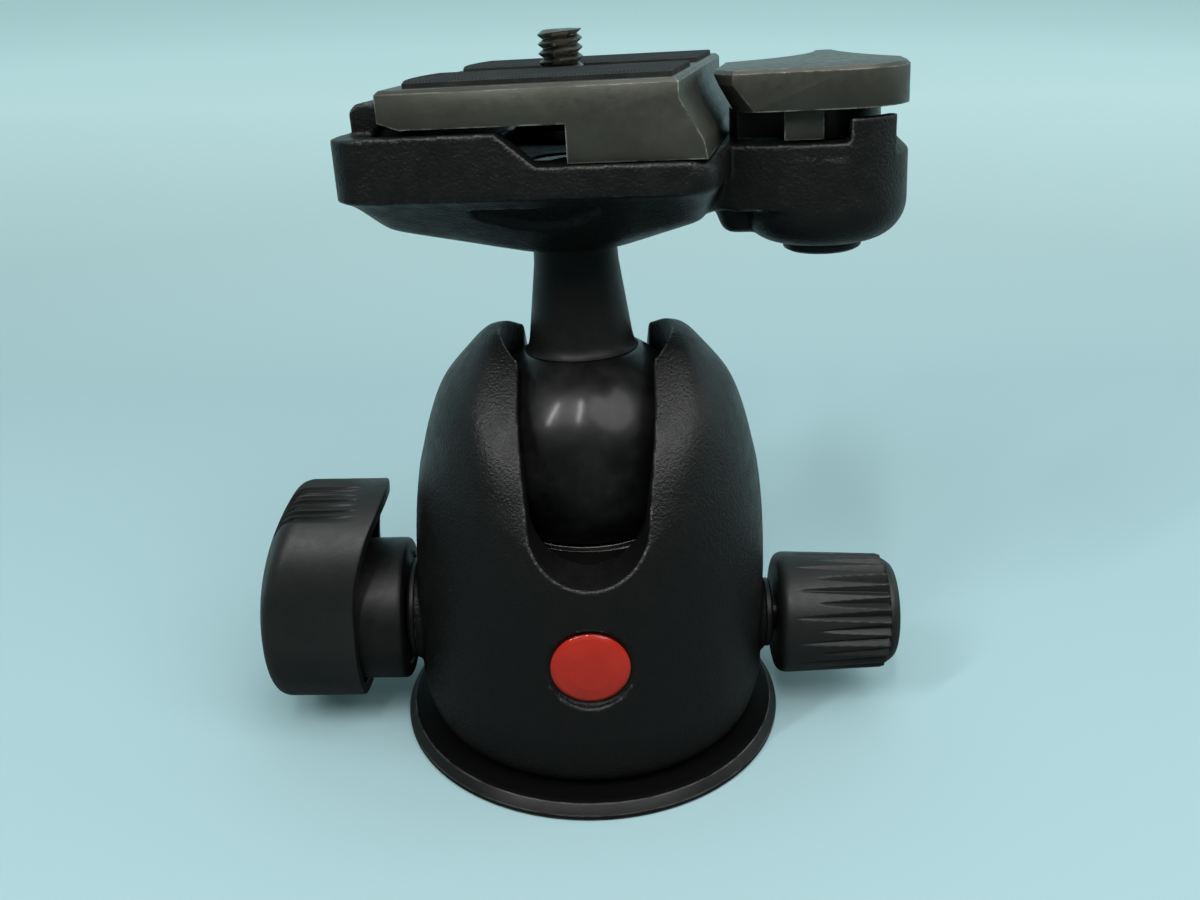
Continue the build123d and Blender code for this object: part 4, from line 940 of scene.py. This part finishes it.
def screw_thread(place):
    """Helix that grows out of the shank within a third of a turn and fades in its last half turn."""
    verts, faces = [], []
    levels = int((THREAD_HIGH - THREAD_LOW) / PITCH * THREAD_TURN)
    for step in range(levels + 1):
        a = 2 * math.pi * step / THREAD_TURN
        start = THREAD_LOW + PITCH * step / THREAD_TURN
        growing = step / (THREAD_START * THREAD_TURN) + THREAD_FIRST
        grown = min(1.0, (levels - step) / (THREAD_FADE * THREAD_TURN), growing)
        for u, lift in THREAD_SHAPE:
            h = min(start + PITCH * u, THREAD_HIGH + THREAD_END)
            r = ROOT_R + (CREST_R - ROOT_R) * lift * grown
            verts.append((r * math.cos(a), r * math.sin(a), h))
    n = len(THREAD_SHAPE)
    for a in [step * n + j for step in range(levels) for j in range(n - 1)]:
        faces.append((a, a + 1, a + n + 1, a + n))
    return piece("camera_screw_thread", verts, faces, place, sharp=50)


def camera_screw():
    """Screw with a real helical thread above its flat head."""
    place = TOP @ shift(SCREW_X, 0, 0)
    thread = screw_thread(place)
    core = turned("camera_screw_body", SCREW_BODY, SCREW_ROUNDING, place, turns=96)
    combined(core, prism("coin_slot", COIN_SLOT, COIN_LOW, COIN_HIGH, place))
    smooth(core)
    place_piece(thread, "camera_screw", STEEL, "steel")
    place_piece(core, "camera_screw", STEEL, "steel", "camera_screw")


# ================= stage, in metres =================
FLOOR_REACH = 3.0
FLOOR_NEAR, FLOOR_FAR, FLOOR_SPAN = (0.345, 0.51, 0.54), (0.72, 0.96, 0.98), (0.15, 0.65)
# FLOOR_MIRRORED is painted shade: the floor's colour as reflections see it near the camera
FLOOR_MIRRORED, MIRRORED_SPAN = (0.09, 0.11, 0.11), (0.12, -0.02)
FLOOR_GLOW, GLOW_SPAN = 0.4, (0.35, 0.95)    # what the eye adds where the lamps fall off
ROOM_TINT, ROOM_FRONT, ROOM_BACK, ROOM_SPAN = (0.74, 0.94, 0.93), 0.04, 0.66, (-0.7, 0.9)
ROOM_SEEN, SEEN_SPAN = (0.36, 0.56, 0.59), (0.0, 0.7)
CAMERA_PLACE = (0.001894, -0.176716, 0.130326)
CAMERA_PITCH, CAMERA_ROLL = math.radians(24.999), math.radians(-0.879)
CAMERA_SENSOR, CAMERA_LENS, CAMERA_NEAR = 36.0, 36.39, 0.01
LAMPS = {    # direction from the ball, distance, width, height, watts, shape
    "left_tube": ((-0.541, -0.509, 0.669), 0.75, 0.035, 0.28, 1.5, "RECTANGLE"),
    "middle_tube": ((-0.116, -0.614, 0.781), 0.75, 0.035, 0.28, 1.5, "RECTANGLE"),
    "left_panel": ((-0.33, -0.54, 0.77), 0.85, 0.45, 0.45, 0.9, "ELLIPSE"),
    "right_panel": ((0.40, -0.50, 0.76), 0.85, 0.66, 0.66, 4.0, "ELLIPSE"),
    "ceiling": ((0.10, -0.05, 1.0), 0.85, 0.60, 0.60, 2.0, "RECTANGLE"),
    "right_window": ((0.85, 0.10, 0.40), 0.85, 0.50, 0.50, 0.8, "RECTANGLE"),
}


def floor_surface():
    """Pale ground, which reflections see dimmer on the camera's side: painted shade in the object's
    reflections of the floor.
    """
    m = Surface("floor_pale", FLOOR_NEAR, 0.85, specular=0.1)
    depth = m.part(m.place, "Y")
    distance = m.add("ShaderNodeVectorMath", operation="LENGTH")
    m.link(m.place, distance.inputs[0])
    rays = m.add("ShaderNodeLightPath").outputs
    ground = m.color(m.ramp(depth, FLOOR_SPAN), FLOOR_NEAR, FLOOR_FAR)
    # painted shade: glossy rays see the near floor dark, which dims its reflection in the object
    mirrored = m.times(m.ramp(depth, MIRRORED_SPAN), rays["Is Glossy Ray"])
    m.set("Base Color", m.color(mirrored, ground, FLOOR_MIRRORED))
    glow = m.ramp(distance.outputs["Value"], GLOW_SPAN, (0.0, FLOOR_GLOW))
    m.value("Emission Color", (*ROOM_SEEN, 1))
    m.set("Emission Strength", m.times(glow, rays["Is Camera Ray"]))
    return m.material


def floor():
    mesh = bpy.data.meshes.new("floor")
    corners = [(x * FLOOR_REACH, y * FLOOR_REACH, 0) for x, y in ((-1, -1), (1, -1), (1, 1), (-1, 1))]
    mesh.from_pydata(corners, [], [(0, 1, 2, 3)])
    mesh.materials.append(floor_surface())
    obj = added("floor", mesh)


def room():
    """Pale surroundings, even to the eye and in reflections of the back, lighting from behind."""
    world = bpy.data.worlds.new("studio")
    bpy.context.scene.world = world
    world.use_nodes = True
    m = Tree(world.node_tree, "Generated")
    depth = m.part(m.place, "Y")
    lit = world.node_tree.nodes["Background"]
    lit.inputs["Color"].default_value = (*ROOM_TINT, 1)
    m.link(m.ramp(depth, ROOM_SPAN, (ROOM_FRONT, ROOM_BACK)), lit.inputs["Strength"])
    seen = m.add("ShaderNodeBackground")
    seen.inputs["Color"].default_value = (*ROOM_SEEN, 1)
    rays = m.add("ShaderNodeLightPath").outputs
    mirrored = m.join("MAXIMUM", rays["Is Glossy Ray"], rays["Is Transmission Ray"])
    toward = m.times(mirrored, m.ramp(depth, SEEN_SPAN))
    choose = m.add("ShaderNodeMixShader")
    m.link(m.join("MAXIMUM", rays["Is Camera Ray"], toward), choose.inputs["Fac"])
    m.link(lit.outputs["Background"], choose.inputs[1])
    m.link(seen.outputs["Background"], choose.inputs[2])
    m.link(choose.outputs["Shader"], world.node_tree.nodes["World Output"].inputs["Surface"])


def lamp(name, toward, distance, width, height, power, shape):
    """Area lamp in a direction from the ball, facing it."""
    data = bpy.data.lights.new(name, "AREA")
    data.shape = shape
    data.size = width
    data.size_y = height
    data.energy = power
    direction = Vector(toward).normalized()
    obj = added(name, data)
    obj.location = Vector((0, 0, BALL_Z * MM)) + direction * distance
    obj.rotation_euler = (-direction).to_track_quat("-Z", "Y").to_euler()


def camera():
    """Camera where the photograph's was."""
    data = bpy.data.cameras.new("camera")
    data.sensor_width = CAMERA_SENSOR
    data.lens = CAMERA_LENS
    data.clip_start = CAMERA_NEAR
    obj = added("camera", data)
    look = Matrix.Rotation(math.pi / 2 - CAMERA_PITCH, 4, "X") @ Matrix.Rotation(CAMERA_ROLL, 4, "Z")
    obj.matrix_world = Matrix.Translation(CAMERA_PLACE) @ look
    bpy.context.scene.camera = obj


def studio():
    floor()
    room()
    for name, settings in LAMPS.items():
        lamp(name, *settings)
    camera()
    bpy.context.scene.view_settings.view_transform = "Standard"


dress_frame()
base_disc()
housing()
badge()
drum()
lock_hub()
lock_collar()
friction_knob()
friction_cap()
friction_collar()
ball()
stem()
receiver()
pivot_cap()
lever()
plate()
pad("front_pad_ribbed", "front_pad", -PAD_NEAR, -PAD_FAR)
pad("rear_pad_ribbed", "rear_pad", PAD_NEAR, PAD_FAR)
camera_screw()
studio()
